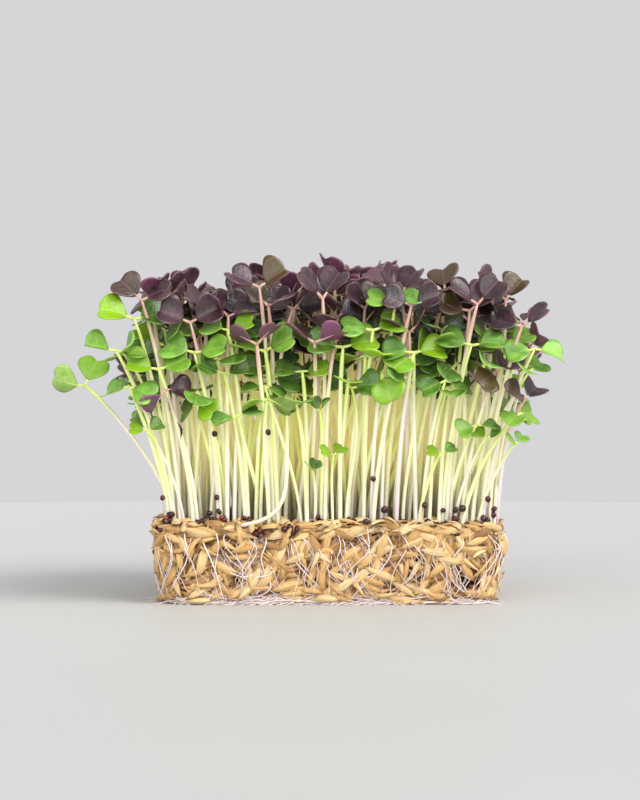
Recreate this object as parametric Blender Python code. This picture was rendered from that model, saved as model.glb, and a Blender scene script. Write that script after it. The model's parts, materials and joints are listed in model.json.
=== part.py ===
"""A block of red and green brassica microgreens, grown on a mat of cereal husks.

The block stands on the flat underside of its mat. X runs along its front, Y to its back, Z up, and
the origin is in the middle of the underside. The seedlings grow in clumps, and each clump is one
node: pale stems that come out of one hole in the mat, with two notched seed leaves on each.
"""

import math
import random
from dataclasses import dataclass

import bmesh
import bpy
from mathutils import Matrix, Vector
from mathutils.geometry import interpolate_bezier

MM = 0.001

# Husk mat: a block that narrows downwards, as the cup it grew in does
MAT_WIDTH = 93.5 * MM
MAT_DEPTH = 71.5 * MM
MAT_HEIGHT = 20.4 * MM
MAT_TAPER = 0.95
MAT_CORNER = 8.0 * MM
CORNER_STEPS = 4

# Husks: pointed at both ends, half sunk in the block
HUSK_LENGTH = 13.2 * MM
HUSK_WIDTH = 5.2 * MM
HUSK_THICKNESS = 3.0 * MM
HUSK_SIDES = 4
HUSK_RINGS = 3
HUSK_ROWS = 4
HUSKS_IN_ROW = 24
RIM_HUSKS = 16
RIM_INSET = 4.0 * MM
HUSK_FOOT = 0.5 * MM
HUSK_STEEPEST = math.radians(55)
HUSK_HIGHEST = 22.4 * MM

# Split seed coats that a clump's stems come out of, half sunk in a plain hole in the mat
SEED_RADIUS = 1.75 * MM
SEED_SUNK = 0.3 * MM
GAP = 0.35 * MM
HOLE_SIDES = 6
HOLE_RADIUS = (SEED_RADIUS + GAP) / math.cos(math.pi / HOLE_SIDES)
HOLE_DEPTH = SEED_RADIUS + SEED_SUNK + GAP
CUTTER_TOP = 8.0 * MM

# Clumps of seedlings
CLUMP_COLUMNS = 7
CLUMP_ROWS = 6
CLUMP_PITCH_X = 12.5 * MM
CLUMP_PITCH_Y = 11.1 * MM
CLUMP_JITTER = 1.3 * MM
SPROUTS_IN_CLUMP = 2
GREEN_PATTERN = (1, 4)
PATTERN_LENGTH = 5
FOOT_SPREAD = 0.75 * MM

# Stems
STEM_RADIUS = 0.6 * MM
STEM_STEPS = 4
START_LEAN = 0.06
END_LEAN = 0.52
STEM_BOW = 3.0 * MM
FAN_X = 1.25
FAN_Y = 1.42
HEAD_JITTER = 5.5 * MM
MOST_LEAN = 0.34

# Height of the leaves: purple ones on top, green ones under them
CROWN_HEIGHT = 92.5 * MM
CROWN_DROP_X = 13.0 * MM
CROWN_DROP_Y = 7.0 * MM
PURPLE_BAND = 15.0 * MM
GREEN_TOP = 14.0 * MM
GREEN_BAND = 17.0 * MM
CANOPY_HALF_WIDTH = 57.0 * MM
CANOPY_HALF_DEPTH = 45.0 * MM

# Seed leaves: outline from the joint to the notch, in parts of the length and the width
LEAF_LENGTH = 9.0 * MM
LEAF_WIDTH = 9.2 * MM
LEAF_THICKNESS = 0.75 * MM
LEAF_FOLD = 0.22
LEAF_DROP = 0.7 * MM
LEAF_OUTLINE = ((0.02, 0.0), (0.44, 0.38), (0.78, 0.50), (1.0, 0.27), (0.86, 0.0))
LEAF_SIZES = (0.86, 1.06)
PURPLE_PITCH = (math.radians(4), math.radians(56))
GREEN_PITCH = (math.radians(-28), math.radians(34))
LEAF_ROLL = math.radians(34)
LEAF_TWIST = math.radians(14)

# Room that each seedling keeps to the next
VOXEL = 1.0 * MM
CLEARANCE = 2.0 * MM
SHARED_STEM = 16.0 * MM
SAMPLE_STEP = 1.15 * MM
PLACING_TRIES = 90

# The long seedling that leans out over the left end
LONE_FOOT = (-41.5 * MM, -29.5 * MM)
LONE_HEAD = (-66.0 * MM, -34.0 * MM, 60.0 * MM)

SEED = 7


@dataclass
class Sprout:
    """One seedling: its stem's ends and bow, and the yaw, pitches, rolls and size of its leaves."""

    foot: Vector
    head: Vector
    bow: Vector
    yaws: tuple
    pitches: tuple
    rolls: tuple
    size: float


@dataclass
class Clump:
    """The seedlings that come out of one hole, and the colour of their leaves."""

    foot: Vector
    purple: bool
    sprouts: list


def stem_path(sprout, steps):
    """Points along a stem, from its foot in the mat to the joint of its leaves."""
    rise = sprout.head - sprout.foot
    low = sprout.foot + Vector((rise.x * START_LEAN, rise.y * START_LEAN, rise.z / 3)) + sprout.bow * 0.25
    high = sprout.foot + Vector((rise.x * END_LEAN, rise.y * END_LEAN, rise.z * 2 / 3)) - sprout.bow
    return interpolate_bezier(sprout.foot, low, high, sprout.head, steps + 1)


def leaf_matrix(sprout, side):
    """Frame of a leaf: x runs out along its midrib, y across it, z out of its upper face."""
    return (
        Matrix.Translation(sprout.head - Vector((0.0, 0.0, LEAF_DROP)))
        @ Matrix.Rotation(sprout.yaws[side], 4, "Z")
        @ Matrix.Rotation(-sprout.pitches[side], 4, "Y")
        @ Matrix.Rotation(sprout.rolls[side], 4, "X")
        @ Matrix.Scale(sprout.size, 4)
    )


def sample_points(sprout):
    """Points spread over a seedling's stem and leaves, about SAMPLE_STEP apart."""
    length = (sprout.head - sprout.foot).length
    points = list(stem_path(sprout, int(length / SAMPLE_STEP)))
    for side in (0, 1):
        frame = leaf_matrix(sprout, side)
        for row in range(1, 9):
            along = row / 8
            half = LEAF_WIDTH / 2 * math.sin(math.pi * min(1.0, 0.12 + 0.76 * along)) ** 0.8
            for column in range(-4, 5):
                across = column * SAMPLE_STEP
                if abs(across) <= half:
                    points.append(frame @ Vector((along * LEAF_LENGTH, across, LEAF_FOLD * abs(across))))
    return points


def voxel(point):
    """Cell of the room grid that holds a point."""
    return tuple(math.floor(value / VOXEL) for value in point)


def reach_offsets():
    """Cells round a point's cell that its clearance fills."""
    span = range(-2, 3)
    limit = (CLEARANCE / VOXEL) ** 2
    return [(i, j, k) for i in span for j in span for k in span if i * i + j * j + k * k <= limit]


def is_free(points, clump_index, room):
    """Whether a seedling's points keep clear of all others, but for the low stems of its own clump."""
    for point in points:
        owner = room.get(voxel(point))
        if owner is None:
            continue
        if owner != clump_index or point.z > MAT_HEIGHT + SHARED_STEM:
            return False
    return True


def take_room(points, clump_index, room, offsets):
    """Mark the cells that a seedling fills."""
    for point in points:
        x, y, z = voxel(point)
        for i, j, k in offsets:
            room[(x + i, y + j, z + k)] = clump_index


def crown_height(x, y):
    """Height of the top of the leaves over a place, lower towards the rim."""
    return (
        CROWN_HEIGHT
        - CROWN_DROP_X * abs(x / CANOPY_HALF_WIDTH) ** 2.4
        - CROWN_DROP_Y * abs(y / CANOPY_HALF_DEPTH) ** 2.4
    )


def draw_sprout(rng, foot, turn, purple, reach):
    """Draw one seedling that fans out from the middle of the block; reach widens the draw."""
    jitter = HEAD_JITTER * reach
    x = foot.x * FAN_X + rng.uniform(-jitter, jitter)
    y = foot.y * FAN_Y + rng.uniform(-jitter, jitter)
    x = max(-CANOPY_HALF_WIDTH, min(CANOPY_HALF_WIDTH, x))
    y = max(-CANOPY_HALF_DEPTH, min(CANOPY_HALF_DEPTH, y))
    top = crown_height(x, y)
    if purple:
        z = top - rng.uniform(0.0, PURPLE_BAND)
        pitch_range = PURPLE_PITCH
    else:
        z = (CROWN_HEIGHT + top) / 2 - GREEN_TOP - rng.uniform(0.0, GREEN_BAND)
        pitch_range = GREEN_PITCH
    angle = rng.uniform(0.0, 2 * math.pi)
    bow = Vector((math.cos(angle), math.sin(angle), 0.0)) * rng.uniform(0.0, STEM_BOW)
    yaw = rng.uniform(0.0, math.pi)
    opposite = yaw + math.pi + rng.uniform(-LEAF_TWIST, LEAF_TWIST)
    pitches = (rng.uniform(*pitch_range), rng.uniform(*pitch_range))
    rolls = (rng.uniform(-LEAF_ROLL, LEAF_ROLL), rng.uniform(-LEAF_ROLL, LEAF_ROLL))
    size = rng.uniform(*LEAF_SIZES)
    start = foot + Vector((math.cos(turn), math.sin(turn), 0.0)) * FOOT_SPREAD
    return Sprout(start, Vector((x, y, z)), bow, (yaw, opposite), pitches, rolls, size)


def lone_clump(foot_height):
    """The clump of the long seedling at the left end, which shows its leaf pair beside the block."""
    foot = Vector((*LONE_FOOT, foot_height))
    yaws = (math.radians(188), math.radians(35))
    pitches = (math.radians(10), math.radians(62))
    rolls = (math.radians(52), math.radians(40))
    bow = Vector((-1.0 * MM, 0.0, 0.0))
    return Clump(foot, False, [Sprout(foot.copy(), Vector(LONE_HEAD), bow, yaws, pitches, rolls, 1.0)])


def lay_out_clumps():
    """Place every clump on a staggered grid and draw its seedlings clear of each other."""
    rng = random.Random(SEED)
    offsets = reach_offsets()
    foot_height = MAT_HEIGHT - SEED_SUNK
    clumps = [lone_clump(foot_height)]
    room = {}
    take_room(sample_points(clumps[0].sprouts[0]), 0, room, offsets)
    for row in range(CLUMP_ROWS):
        for column in range(CLUMP_COLUMNS):
            stagger = 0.25 if row % 2 else -0.25
            x = (column - (CLUMP_COLUMNS - 1) / 2 + stagger) * CLUMP_PITCH_X
            y = (row - (CLUMP_ROWS - 1) / 2) * CLUMP_PITCH_Y
            x += rng.uniform(-CLUMP_JITTER, CLUMP_JITTER)
            y += rng.uniform(-CLUMP_JITTER, CLUMP_JITTER)
            foot = Vector((x, y, foot_height))
            if (foot - clumps[0].foot).length < 2 * HOLE_RADIUS + 2 * MM:
                continue
            purple = (column + 2 * row) % PATTERN_LENGTH not in GREEN_PATTERN
            clump = Clump(foot, purple, [])
            index = len(clumps)
            turn = rng.uniform(0.0, math.pi)
            for number in range(SPROUTS_IN_CLUMP):
                foot_turn = turn + number * 2 * math.pi / SPROUTS_IN_CLUMP
                for attempt in range(PLACING_TRIES):
                    sprout = draw_sprout(rng, foot, foot_turn, purple, 1.0 + attempt / PLACING_TRIES)
                    rise = sprout.head - sprout.foot
                    if rise.xy.length > MOST_LEAN * rise.z:
                        continue
                    points = sample_points(sprout)
                    if is_free(points, index, room):
                        take_room(points, index, room, offsets)
                        clump.sprouts.append(sprout)
                        break
            if clump.sprouts:
                clumps.append(clump)
    return clumps


def make_material(name, color, roughness):
    """A plain Principled material."""
    material = bpy.data.materials.new(name)
    material.use_nodes = True
    shader = material.node_tree.nodes["Principled BSDF"]
    shader.inputs["Base Color"].default_value = (*color, 1.0)
    shader.inputs["Roughness"].default_value = roughness
    shader.inputs["Metallic"].default_value = 0.0
    return material


def make_collection(name):
    """A collection linked under the scene."""
    collection = bpy.data.collections.new(name)
    bpy.context.scene.collection.children.link(collection)
    return collection


def add_object(name, mesh, collection, matrix=None):
    """An object for a mesh, linked to a collection and placed by a matrix."""
    piece = bpy.data.objects.new(name, mesh)
    collection.objects.link(piece)
    if matrix is not None:
        piece.matrix_world = matrix
    return piece


def mesh_from(bm, name, material):
    """Finish a bmesh as a mesh with one material and its faces pointing out."""
    bmesh.ops.recalc_face_normals(bm, faces=bm.faces)
    mesh = bpy.data.meshes.new(name)
    bm.to_mesh(mesh)
    bm.free()
    mesh.materials.append(material)
    return mesh


def block_mesh(material):
    """The mat's block: a box with rounded upright edges that narrows towards its underside."""
    bm = bmesh.new()
    bmesh.ops.create_cube(bm, size=1.0)
    bmesh.ops.scale(bm, vec=(MAT_WIDTH, MAT_DEPTH, MAT_HEIGHT), verts=bm.verts)
    bmesh.ops.translate(bm, vec=(0.0, 0.0, MAT_HEIGHT / 2), verts=bm.verts)
    uprights = [edge for edge in bm.edges if abs(edge.verts[0].co.z - edge.verts[1].co.z) > MAT_HEIGHT / 2]
    bmesh.ops.bevel(
        bm, geom=uprights, offset=MAT_CORNER, segments=CORNER_STEPS, profile=0.5, affect="EDGES", material=-1
    )
    underside = [vert for vert in bm.verts if vert.co.z < MAT_HEIGHT / 2]
    bmesh.ops.scale(bm, vec=(MAT_TAPER, MAT_TAPER, 1.0), verts=underside)
    return mesh_from(bm, "block", material)


def husk_mesh(material):
    """A husk: a long lens that comes to a point at both ends, along X."""
    bm = bmesh.new()
    bmesh.ops.create_uvsphere(bm, u_segments=HUSK_SIDES, v_segments=HUSK_RINGS, radius=0.5)
    bmesh.ops.rotate(bm, matrix=Matrix.Rotation(math.pi / 2, 3, "Y"), verts=bm.verts)
    bmesh.ops.scale(bm, vec=(HUSK_LENGTH, HUSK_WIDTH, HUSK_THICKNESS), verts=bm.verts)
    return mesh_from(bm, "husk", material)


def rim_point(share, inset, height):
    """A point of the block's outline at a share of its length, and the way out from it."""
    scale = MAT_TAPER + (1.0 - MAT_TAPER) * height / MAT_HEIGHT
    half_x = MAT_WIDTH / 2 * scale - inset
    half_y = MAT_DEPTH / 2 * scale - inset
    corner = max(MAT_CORNER - inset, 0.5 * MM)
    straight_x = 2 * (half_x - corner)
    straight_y = 2 * (half_y - corner)
    arc = corner * math.pi / 2
    walk = share % 1.0 * (2 * straight_x + 2 * straight_y + 4 * arc)
    for quarter in range(4):
        straight = straight_x if quarter % 2 == 0 else straight_y
        turn = Matrix.Rotation(quarter * math.pi / 2, 3, "Z")
        reach = half_y if quarter % 2 == 0 else half_x
        if walk < straight:
            return turn @ Vector((walk - straight / 2, -reach, 0.0)), turn @ Vector((0.0, -1.0, 0.0))
        walk -= straight
        if walk < arc:
            angle = walk / corner
            out = Vector((math.sin(angle), -math.cos(angle), 0.0))
            return turn @ (Vector((straight / 2, corner - reach, 0.0)) + out * corner), turn @ out
        walk -= arc
    return Vector((-straight_x / 2, -half_y, 0.0)), Vector((0.0, -1.0, 0.0))


def husk_places():
    """Frames of the husks: rows round the sides of the block, and a ring on top of its rim."""
    rng = random.Random(SEED + 1)
    places = []
    for row in range(HUSK_ROWS):
        for number in range(HUSKS_IN_ROW):
            height = MAT_HEIGHT * (row + 0.5) / HUSK_ROWS + rng.uniform(-1.0, 1.0) * MM
            share = (number + 0.5 * (row % 2) + rng.uniform(-0.3, 0.3)) / HUSKS_IN_ROW
            point, out = rim_point(share, 0.2 * MM, height)
            height = max(height, HUSK_FOOT + HUSK_WIDTH * 0.45)
            room = min(height - HUSK_FOOT - HUSK_WIDTH * 0.45, HUSK_HIGHEST - height)
            steepest = min(HUSK_STEEPEST, math.asin(min(1.0, room / (HUSK_LENGTH / 2))))
            angle = rng.uniform(-1.0, 1.0) * steepest
            along = out.cross(Vector((0.0, 0.0, 1.0)))
            frame = Matrix((along, Vector((0.0, 0.0, 1.0)), -out)).transposed().to_4x4()
            tilt = Matrix.Rotation(rng.uniform(-0.13, 0.13), 4, "Y")
            place = Matrix.Translation((point.x, point.y, height))
            places.append(place @ frame @ Matrix.Rotation(angle, 4, "Z") @ tilt)
    for number in range(RIM_HUSKS):
        share = (number + rng.uniform(-0.25, 0.25)) / RIM_HUSKS
        point, _ = rim_point(share, RIM_INSET + rng.uniform(-1.2, 1.2) * MM, MAT_HEIGHT)
        place = Matrix.Translation((point.x, point.y, MAT_HEIGHT + rng.uniform(-0.3, 0.3) * MM))
        places.append(place @ Matrix.Rotation(rng.uniform(0.0, math.pi), 4, "Z"))
    return places


def fuse(target, collection, operation, solver="EXACT"):
    """Apply one Boolean with a whole collection to an object, then remove the collection."""
    modifier = target.modifiers.new("fuse", "BOOLEAN")
    modifier.operation = operation
    modifier.operand_type = "COLLECTION"
    modifier.collection = collection
    modifier.solver = solver
    if solver == "EXACT":
        modifier.material_mode = "TRANSFER"
    graph = bpy.context.evaluated_depsgraph_get()
    fused = bpy.data.meshes.new_from_object(target.evaluated_get(graph))
    target.modifiers.clear()
    target.data = fused
    for piece in list(collection.objects):
        bpy.data.objects.remove(piece, do_unlink=True)
    bpy.data.collections.remove(collection)
    keep_outer_body(fused)


def keep_outer_body(mesh):
    """Fill a fused mesh's sealed hollows and drop its loose scraps."""
    bm = bmesh.new()
    bm.from_mesh(mesh)
    bodies = []
    unseen = set(bm.verts)
    while unseen:
        stack = [unseen.pop()]
        body = set(stack)
        while stack:
            for edge in stack.pop().link_edges:
                for vert in edge.verts:
                    if vert in unseen:
                        unseen.discard(vert)
                        body.add(vert)
                        stack.append(vert)
        bodies.append(body)
    bodies.sort(key=lambda body: body_span(body), reverse=True)
    for body in bodies[1:]:
        bmesh.ops.delete(bm, geom=list(body), context="VERTS")
    bm.to_mesh(mesh)
    bm.free()


def body_span(body):
    """Size of a body's box, summed over its three sides."""
    return sum(max(v.co[i] for v in body) - min(v.co[i] for v in body) for i in range(3))


def make_mat(clumps, parts, materials):
    """The mat: husks fused to the block, with a plain hole for each clump."""
    mat = add_object("husk_mat", block_mesh(materials["husk"]), parts)
    husks = make_collection("husks")
    husk = husk_mesh(materials["husk"])
    for number, place in enumerate(husk_places()):
        add_object(f"husk_{number}", husk, husks, place)
    fuse(mat, husks, "UNION")
    holes = make_collection("holes")
    depth = HOLE_DEPTH + CUTTER_TOP
    for number, clump in enumerate(clumps):
        bm = bmesh.new()
        bmesh.ops.create_cone(
            bm, cap_ends=True, segments=HOLE_SIDES, radius1=HOLE_RADIUS, radius2=HOLE_RADIUS, depth=depth
        )
        cutter = mesh_from(bm, "hole", materials["husk"])
        bottom = MAT_HEIGHT - HOLE_DEPTH
        place = Matrix.Translation((clump.foot.x, clump.foot.y, bottom + depth / 2))
        piece = add_object(f"hole_{number}", cutter, holes, place)
        piece.hide_render = True
        piece.display_type = "WIRE"
    fuse(mat, holes, "DIFFERENCE")
    return mat


def leaf_mesh(material):
    """A seed leaf: a notched blade folded up a little along its midrib."""
    left = [(u, v) for u, v in LEAF_OUTLINE]
    right = [(u, -v) for u, v in LEAF_OUTLINE[-2:0:-1]]
    outline = left + right
    bm = bmesh.new()
    ring = bmesh.ops.create_circle(bm, cap_ends=True, segments=len(outline), radius=1.0)["verts"]
    for vert, (u, v) in zip(ring, outline):
        vert.co = (u * LEAF_LENGTH, v * LEAF_WIDTH, 0.0)
    bmesh.utils.face_split(bm.faces[:][0], ring[0], ring[len(left) - 1])
    for vert in ring:
        vert.co.z = LEAF_FOLD * abs(vert.co.y)
    grown = bmesh.ops.extrude_face_region(bm, geom=bm.faces[:])["geom"]
    lower = [item for item in grown if isinstance(item, bmesh.types.BMVert)]
    bmesh.ops.translate(bm, vec=(0.0, 0.0, -LEAF_THICKNESS), verts=lower)
    return mesh_from(bm, "leaf", material)


def seed_mesh(material):
    """A split seed coat, round and dark."""
    bm = bmesh.new()
    bmesh.ops.create_icosphere(bm, subdivisions=1, radius=SEED_RADIUS)
    return mesh_from(bm, "seed_coat", material)


def stem_mesh(sprout, origin, material):
    """A stem: a slender tube along its curve, thinner towards the leaves."""
    curve = bpy.data.curves.new("stem", "CURVE")
    curve.dimensions = "3D"
    curve.bevel_depth = STEM_RADIUS
    curve.bevel_resolution = 0
    curve.use_fill_caps = True
    spline = curve.splines.new("POLY")
    path = stem_path(sprout, STEM_STEPS)
    spline.points.add(len(path) - 1)
    for point, place in zip(spline.points, path):
        point.co = (*(place - origin), 1.0)
    tube = bpy.data.objects.new("stem", curve)
    bpy.context.scene.collection.objects.link(tube)
    graph = bpy.context.evaluated_depsgraph_get()
    mesh = bpy.data.meshes.new_from_object(tube.evaluated_get(graph))
    bpy.data.objects.remove(tube, do_unlink=True)
    bpy.data.curves.remove(curve)
    bm = bmesh.new()
    bm.from_mesh(mesh)
    bpy.data.meshes.remove(mesh)
    bmesh.ops.remove_doubles(bm, verts=bm.verts, dist=0.01 * MM)
    return mesh_from(bm, "stem", material)


def make_clump(name, clump, leaf, parts, materials):
    """One clump: its stems, leaves and seed coat fused into a single body."""
    origin = clump.foot
    place = Matrix.Translation(origin)
    pieces = make_collection("pieces")
    stems = [stem_mesh(sprout, origin, materials["stem"]) for sprout in clump.sprouts]
    node = add_object(name, stems[0], parts, place)
    for stem in stems[1:]:
        add_object("stem", stem, pieces, place)
    for sprout in clump.sprouts:
        for side in (0, 1):
            add_object("leaf", leaf, pieces, leaf_matrix(sprout, side))
    add_object("seed_coat", seed_mesh(materials["seed_coat"]), pieces, place)
    fuse(node, pieces, "UNION")
    return node


def main():
    """Clear the scene and build the mat and every clump."""
    for old in list(bpy.data.objects):
        bpy.data.objects.remove(old, do_unlink=True)
    parts = make_collection("microgreens_block")
    materials = {
        "husk": make_material("husk", (0.72, 0.50, 0.26), 0.75),
        "stem": make_material("stem", (0.74, 0.82, 0.36), 0.45),
        "purple_leaf": make_material("purple_leaf", (0.12, 0.035, 0.075), 0.45),
        "green_leaf": make_material("green_leaf", (0.14, 0.42, 0.04), 0.45),
        "seed_coat": make_material("seed_coat", (0.07, 0.015, 0.015), 0.4),
    }
    clumps = lay_out_clumps()
    make_mat(clumps, parts, materials)
    purple_leaf = leaf_mesh(materials["purple_leaf"])
    green_leaf = leaf_mesh(materials["green_leaf"])
    counts = {True: 0, False: 0}
    for clump in clumps:
        color = "purple" if clump.purple else "green"
        name = f"{color}_sprouts_{counts[clump.purple]:02d}"
        counts[clump.purple] += 1
        make_clump(name, clump, purple_leaf if clump.purple else green_leaf, parts, materials)


main()
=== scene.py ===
"""Looks of a block of red and green brassica microgreens on a mat of cereal husks.

The frame holds the mat and the clumps of seedlings at their real size. This script lays the same
seedlings out again and builds each clump finely, then adds the seedlings between them, the single
husks, the seed coats and the white roots, and gives every surface its finish.
"""

import json
import logging
import math
from collections.abc import Callable, Iterator
from dataclasses import dataclass, field
from enum import Enum
from random import Random

import bmesh
import bpy
from mathutils import Matrix, Vector
from mathutils.geometry import interpolate_bezier

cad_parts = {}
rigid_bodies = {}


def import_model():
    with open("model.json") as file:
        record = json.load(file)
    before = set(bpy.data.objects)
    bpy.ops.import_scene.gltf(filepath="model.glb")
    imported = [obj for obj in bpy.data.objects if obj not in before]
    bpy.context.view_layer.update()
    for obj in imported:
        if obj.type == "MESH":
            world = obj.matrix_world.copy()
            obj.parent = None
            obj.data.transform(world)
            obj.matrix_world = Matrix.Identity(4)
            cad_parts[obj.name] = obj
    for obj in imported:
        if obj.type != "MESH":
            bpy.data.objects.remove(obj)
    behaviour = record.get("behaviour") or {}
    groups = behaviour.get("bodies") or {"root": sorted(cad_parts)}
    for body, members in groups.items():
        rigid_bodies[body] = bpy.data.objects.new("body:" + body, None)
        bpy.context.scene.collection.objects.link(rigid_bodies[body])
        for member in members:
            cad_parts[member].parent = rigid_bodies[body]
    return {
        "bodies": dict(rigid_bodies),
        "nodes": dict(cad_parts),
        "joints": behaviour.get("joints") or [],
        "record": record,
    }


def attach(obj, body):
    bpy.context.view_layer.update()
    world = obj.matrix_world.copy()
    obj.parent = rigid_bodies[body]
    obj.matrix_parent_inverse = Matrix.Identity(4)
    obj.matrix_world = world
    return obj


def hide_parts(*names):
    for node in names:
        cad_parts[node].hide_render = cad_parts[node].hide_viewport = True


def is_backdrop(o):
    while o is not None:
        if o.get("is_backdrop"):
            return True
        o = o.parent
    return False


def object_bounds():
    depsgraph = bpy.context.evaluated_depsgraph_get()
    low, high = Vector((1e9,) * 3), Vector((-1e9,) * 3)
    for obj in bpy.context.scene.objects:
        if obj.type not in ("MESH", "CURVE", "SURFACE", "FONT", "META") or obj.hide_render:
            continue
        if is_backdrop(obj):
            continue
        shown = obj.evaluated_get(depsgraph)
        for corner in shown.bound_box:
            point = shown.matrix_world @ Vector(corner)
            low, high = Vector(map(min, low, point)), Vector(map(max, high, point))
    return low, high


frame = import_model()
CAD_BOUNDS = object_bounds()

logging.basicConfig(level=logging.INFO, format="%(message)s")
log = logging.getLogger("microgreens")

MM = 0.001
UP = Vector((0.0, 0.0, 1.0))
SEED = 7
ROOT_BODY = "root"
UV_NAME = "surface"
TONE_NAME = "tone"
UNDER_NAME = "under"
BLACK = (0.0, 0.0, 0.0, 1.0)

Color = tuple[float, float, float, float]
Socket = bpy.types.NodeSocket
Value = Socket | float | tuple[float, ...]
BMesh = bmesh.types.BMesh
Cell = tuple[int, int, int]
Thread = tuple[float, float, list[Vector]]


class LeafColor(Enum):
    """The two kinds of seedling that grow mixed in the block."""

    PURPLE = "purple"
    GREEN = "green"


PURPLE, GREEN = LeafColor


def linear(red: int, green: int, blue: int) -> Color:
    """Turn an 8-bit screen colour into the linear colour that shaders take.

    Args:
        red, green, blue: screen values from 0 to 255.

    Returns:
        The colour with an alpha of 1.
    """
    channels = []
    for value in (red, green, blue):
        share = value / 255
        channels.append(share / 12.92 if share <= 0.04045 else ((share + 0.055) / 1.055) ** 2.4)
    return (*channels, 1.0)


def swing(rng: Random, most: float, axis: str) -> Matrix:
    """Draw a turn about an axis, to either side by at most an angle in radians."""
    return Matrix.Rotation(rng.uniform(-most, most), 4, axis)


def heading(angle: float) -> Vector:
    """Level way that points at an angle from the right."""
    return Vector((math.cos(angle), math.sin(angle), 0.0))


def square_share(point: Vector) -> tuple[float, float]:
    """Share of the way across a square from -1 to 1, in each direction."""
    return (point.x + 1) / 2, (point.y + 1) / 2


def turn_share(up: float, aside: float) -> float:
    """Share of a full turn at which a direction points."""
    return math.atan2(up, aside) / (2 * math.pi) + 0.5


# Node sketches and the effects that several finishes share


class Sketch:
    """A short way to write nodes and links in one node tree."""

    def __init__(self, tree: bpy.types.NodeTree) -> None:
        """Keep the tree that nodes are added to."""
        self.tree = tree

    def set(self, target: Socket, value: Value) -> None:
        """Link a socket to an input, or set the input to a value.

        Args:
            target: the input.
            value: what feeds it.
        """
        if isinstance(value, Socket):
            self.tree.links.new(value, target)
        else:
            target.default_value = value

    def add(self, kind: str, inputs: dict | None = None, **settings: object) -> bpy.types.Node:
        """Add one node.

        Args:
            kind: the node's type, without its ShaderNode prefix.
            inputs: values or sockets for its inputs, by name or number.
            settings: attributes of the node.

        Returns:
            The new node.
        """
        node = self.tree.nodes.new(f"ShaderNode{kind}")
        for name, setting in settings.items():
            setattr(node, name, setting)
        for key, value in (inputs or {}).items():
            self.set(node.inputs[key], value)
        return node

    def math(self, operation: str, first: Value, second: Value = 0.0) -> Socket:
        """Add a Math node and return its output."""
        return self.add("Math", {0: first, 1: second}, operation=operation).outputs[0]

    def times(self, first: Value, second: Value) -> Socket:
        """Multiply two values."""
        return self.math("MULTIPLY", first, second)

    def plus(self, first: Value, second: Value) -> Socket:
        """Add two values."""
        return self.math("ADD", first, second)

    def minus(self, first: Value, second: Value) -> Socket:
        """Take the second value from the first."""
        return self.math("SUBTRACT", first, second)

    def size(self, value: Value) -> Socket:
        """Take away a value's sign."""
        return self.math("ABSOLUTE", value)

    def mix(self, share: Value, first: Value, second: Value) -> Socket:
        """Mix two colours by a share and return the mixed colour."""
        return self.add("Mix", {0: share, 6: first, 7: second}, data_type="RGBA").outputs[2]

    def range(self, value: Value, low: Value, high: Value, shape: str = "LINEAR") -> Socket:
        """Map a value's range from low to high onto 0 to 1."""
        inputs = {"Value": value, "From Min": low, "From Max": high}
        return self.add("MapRange", inputs, interpolation_type=shape).outputs["Result"]

    def ramp(self, value: Value, low: float, high: float) -> Socket:
        """Map a value's range from low to high onto 0 to 1, smoothly."""
        return self.range(value, low, high, "SMOOTHSTEP")

    def noise(self, vector: Socket, scale: Value, detail: float) -> Socket:
        """Add a Noise node and return its value."""
        return self.add("TexNoise", {"Vector": vector, "Scale": scale, "Detail": detail}).outputs["Fac"]

    def attribute(self, name: str) -> Socket:
        """Read one of the piece's own attributes."""
        return self.add("Attribute", attribute_name=name).outputs["Fac"]

    def surface(self) -> tuple[Socket, Socket]:
        """Read how far along and across its own leaf, stem or husk a point lies, each from 0 to 1."""
        return tuple(self.add("SeparateXYZ", {0: self.add("UVMap", uv_map=UV_NAME).outputs[0]}).outputs[:2])

    def place(self) -> tuple[Socket, Socket, Socket]:
        """Read a point's place in the piece's own space."""
        return tuple(self.add("SeparateXYZ", {0: self.add("TexCoord").outputs["Object"]}).outputs)


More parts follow.
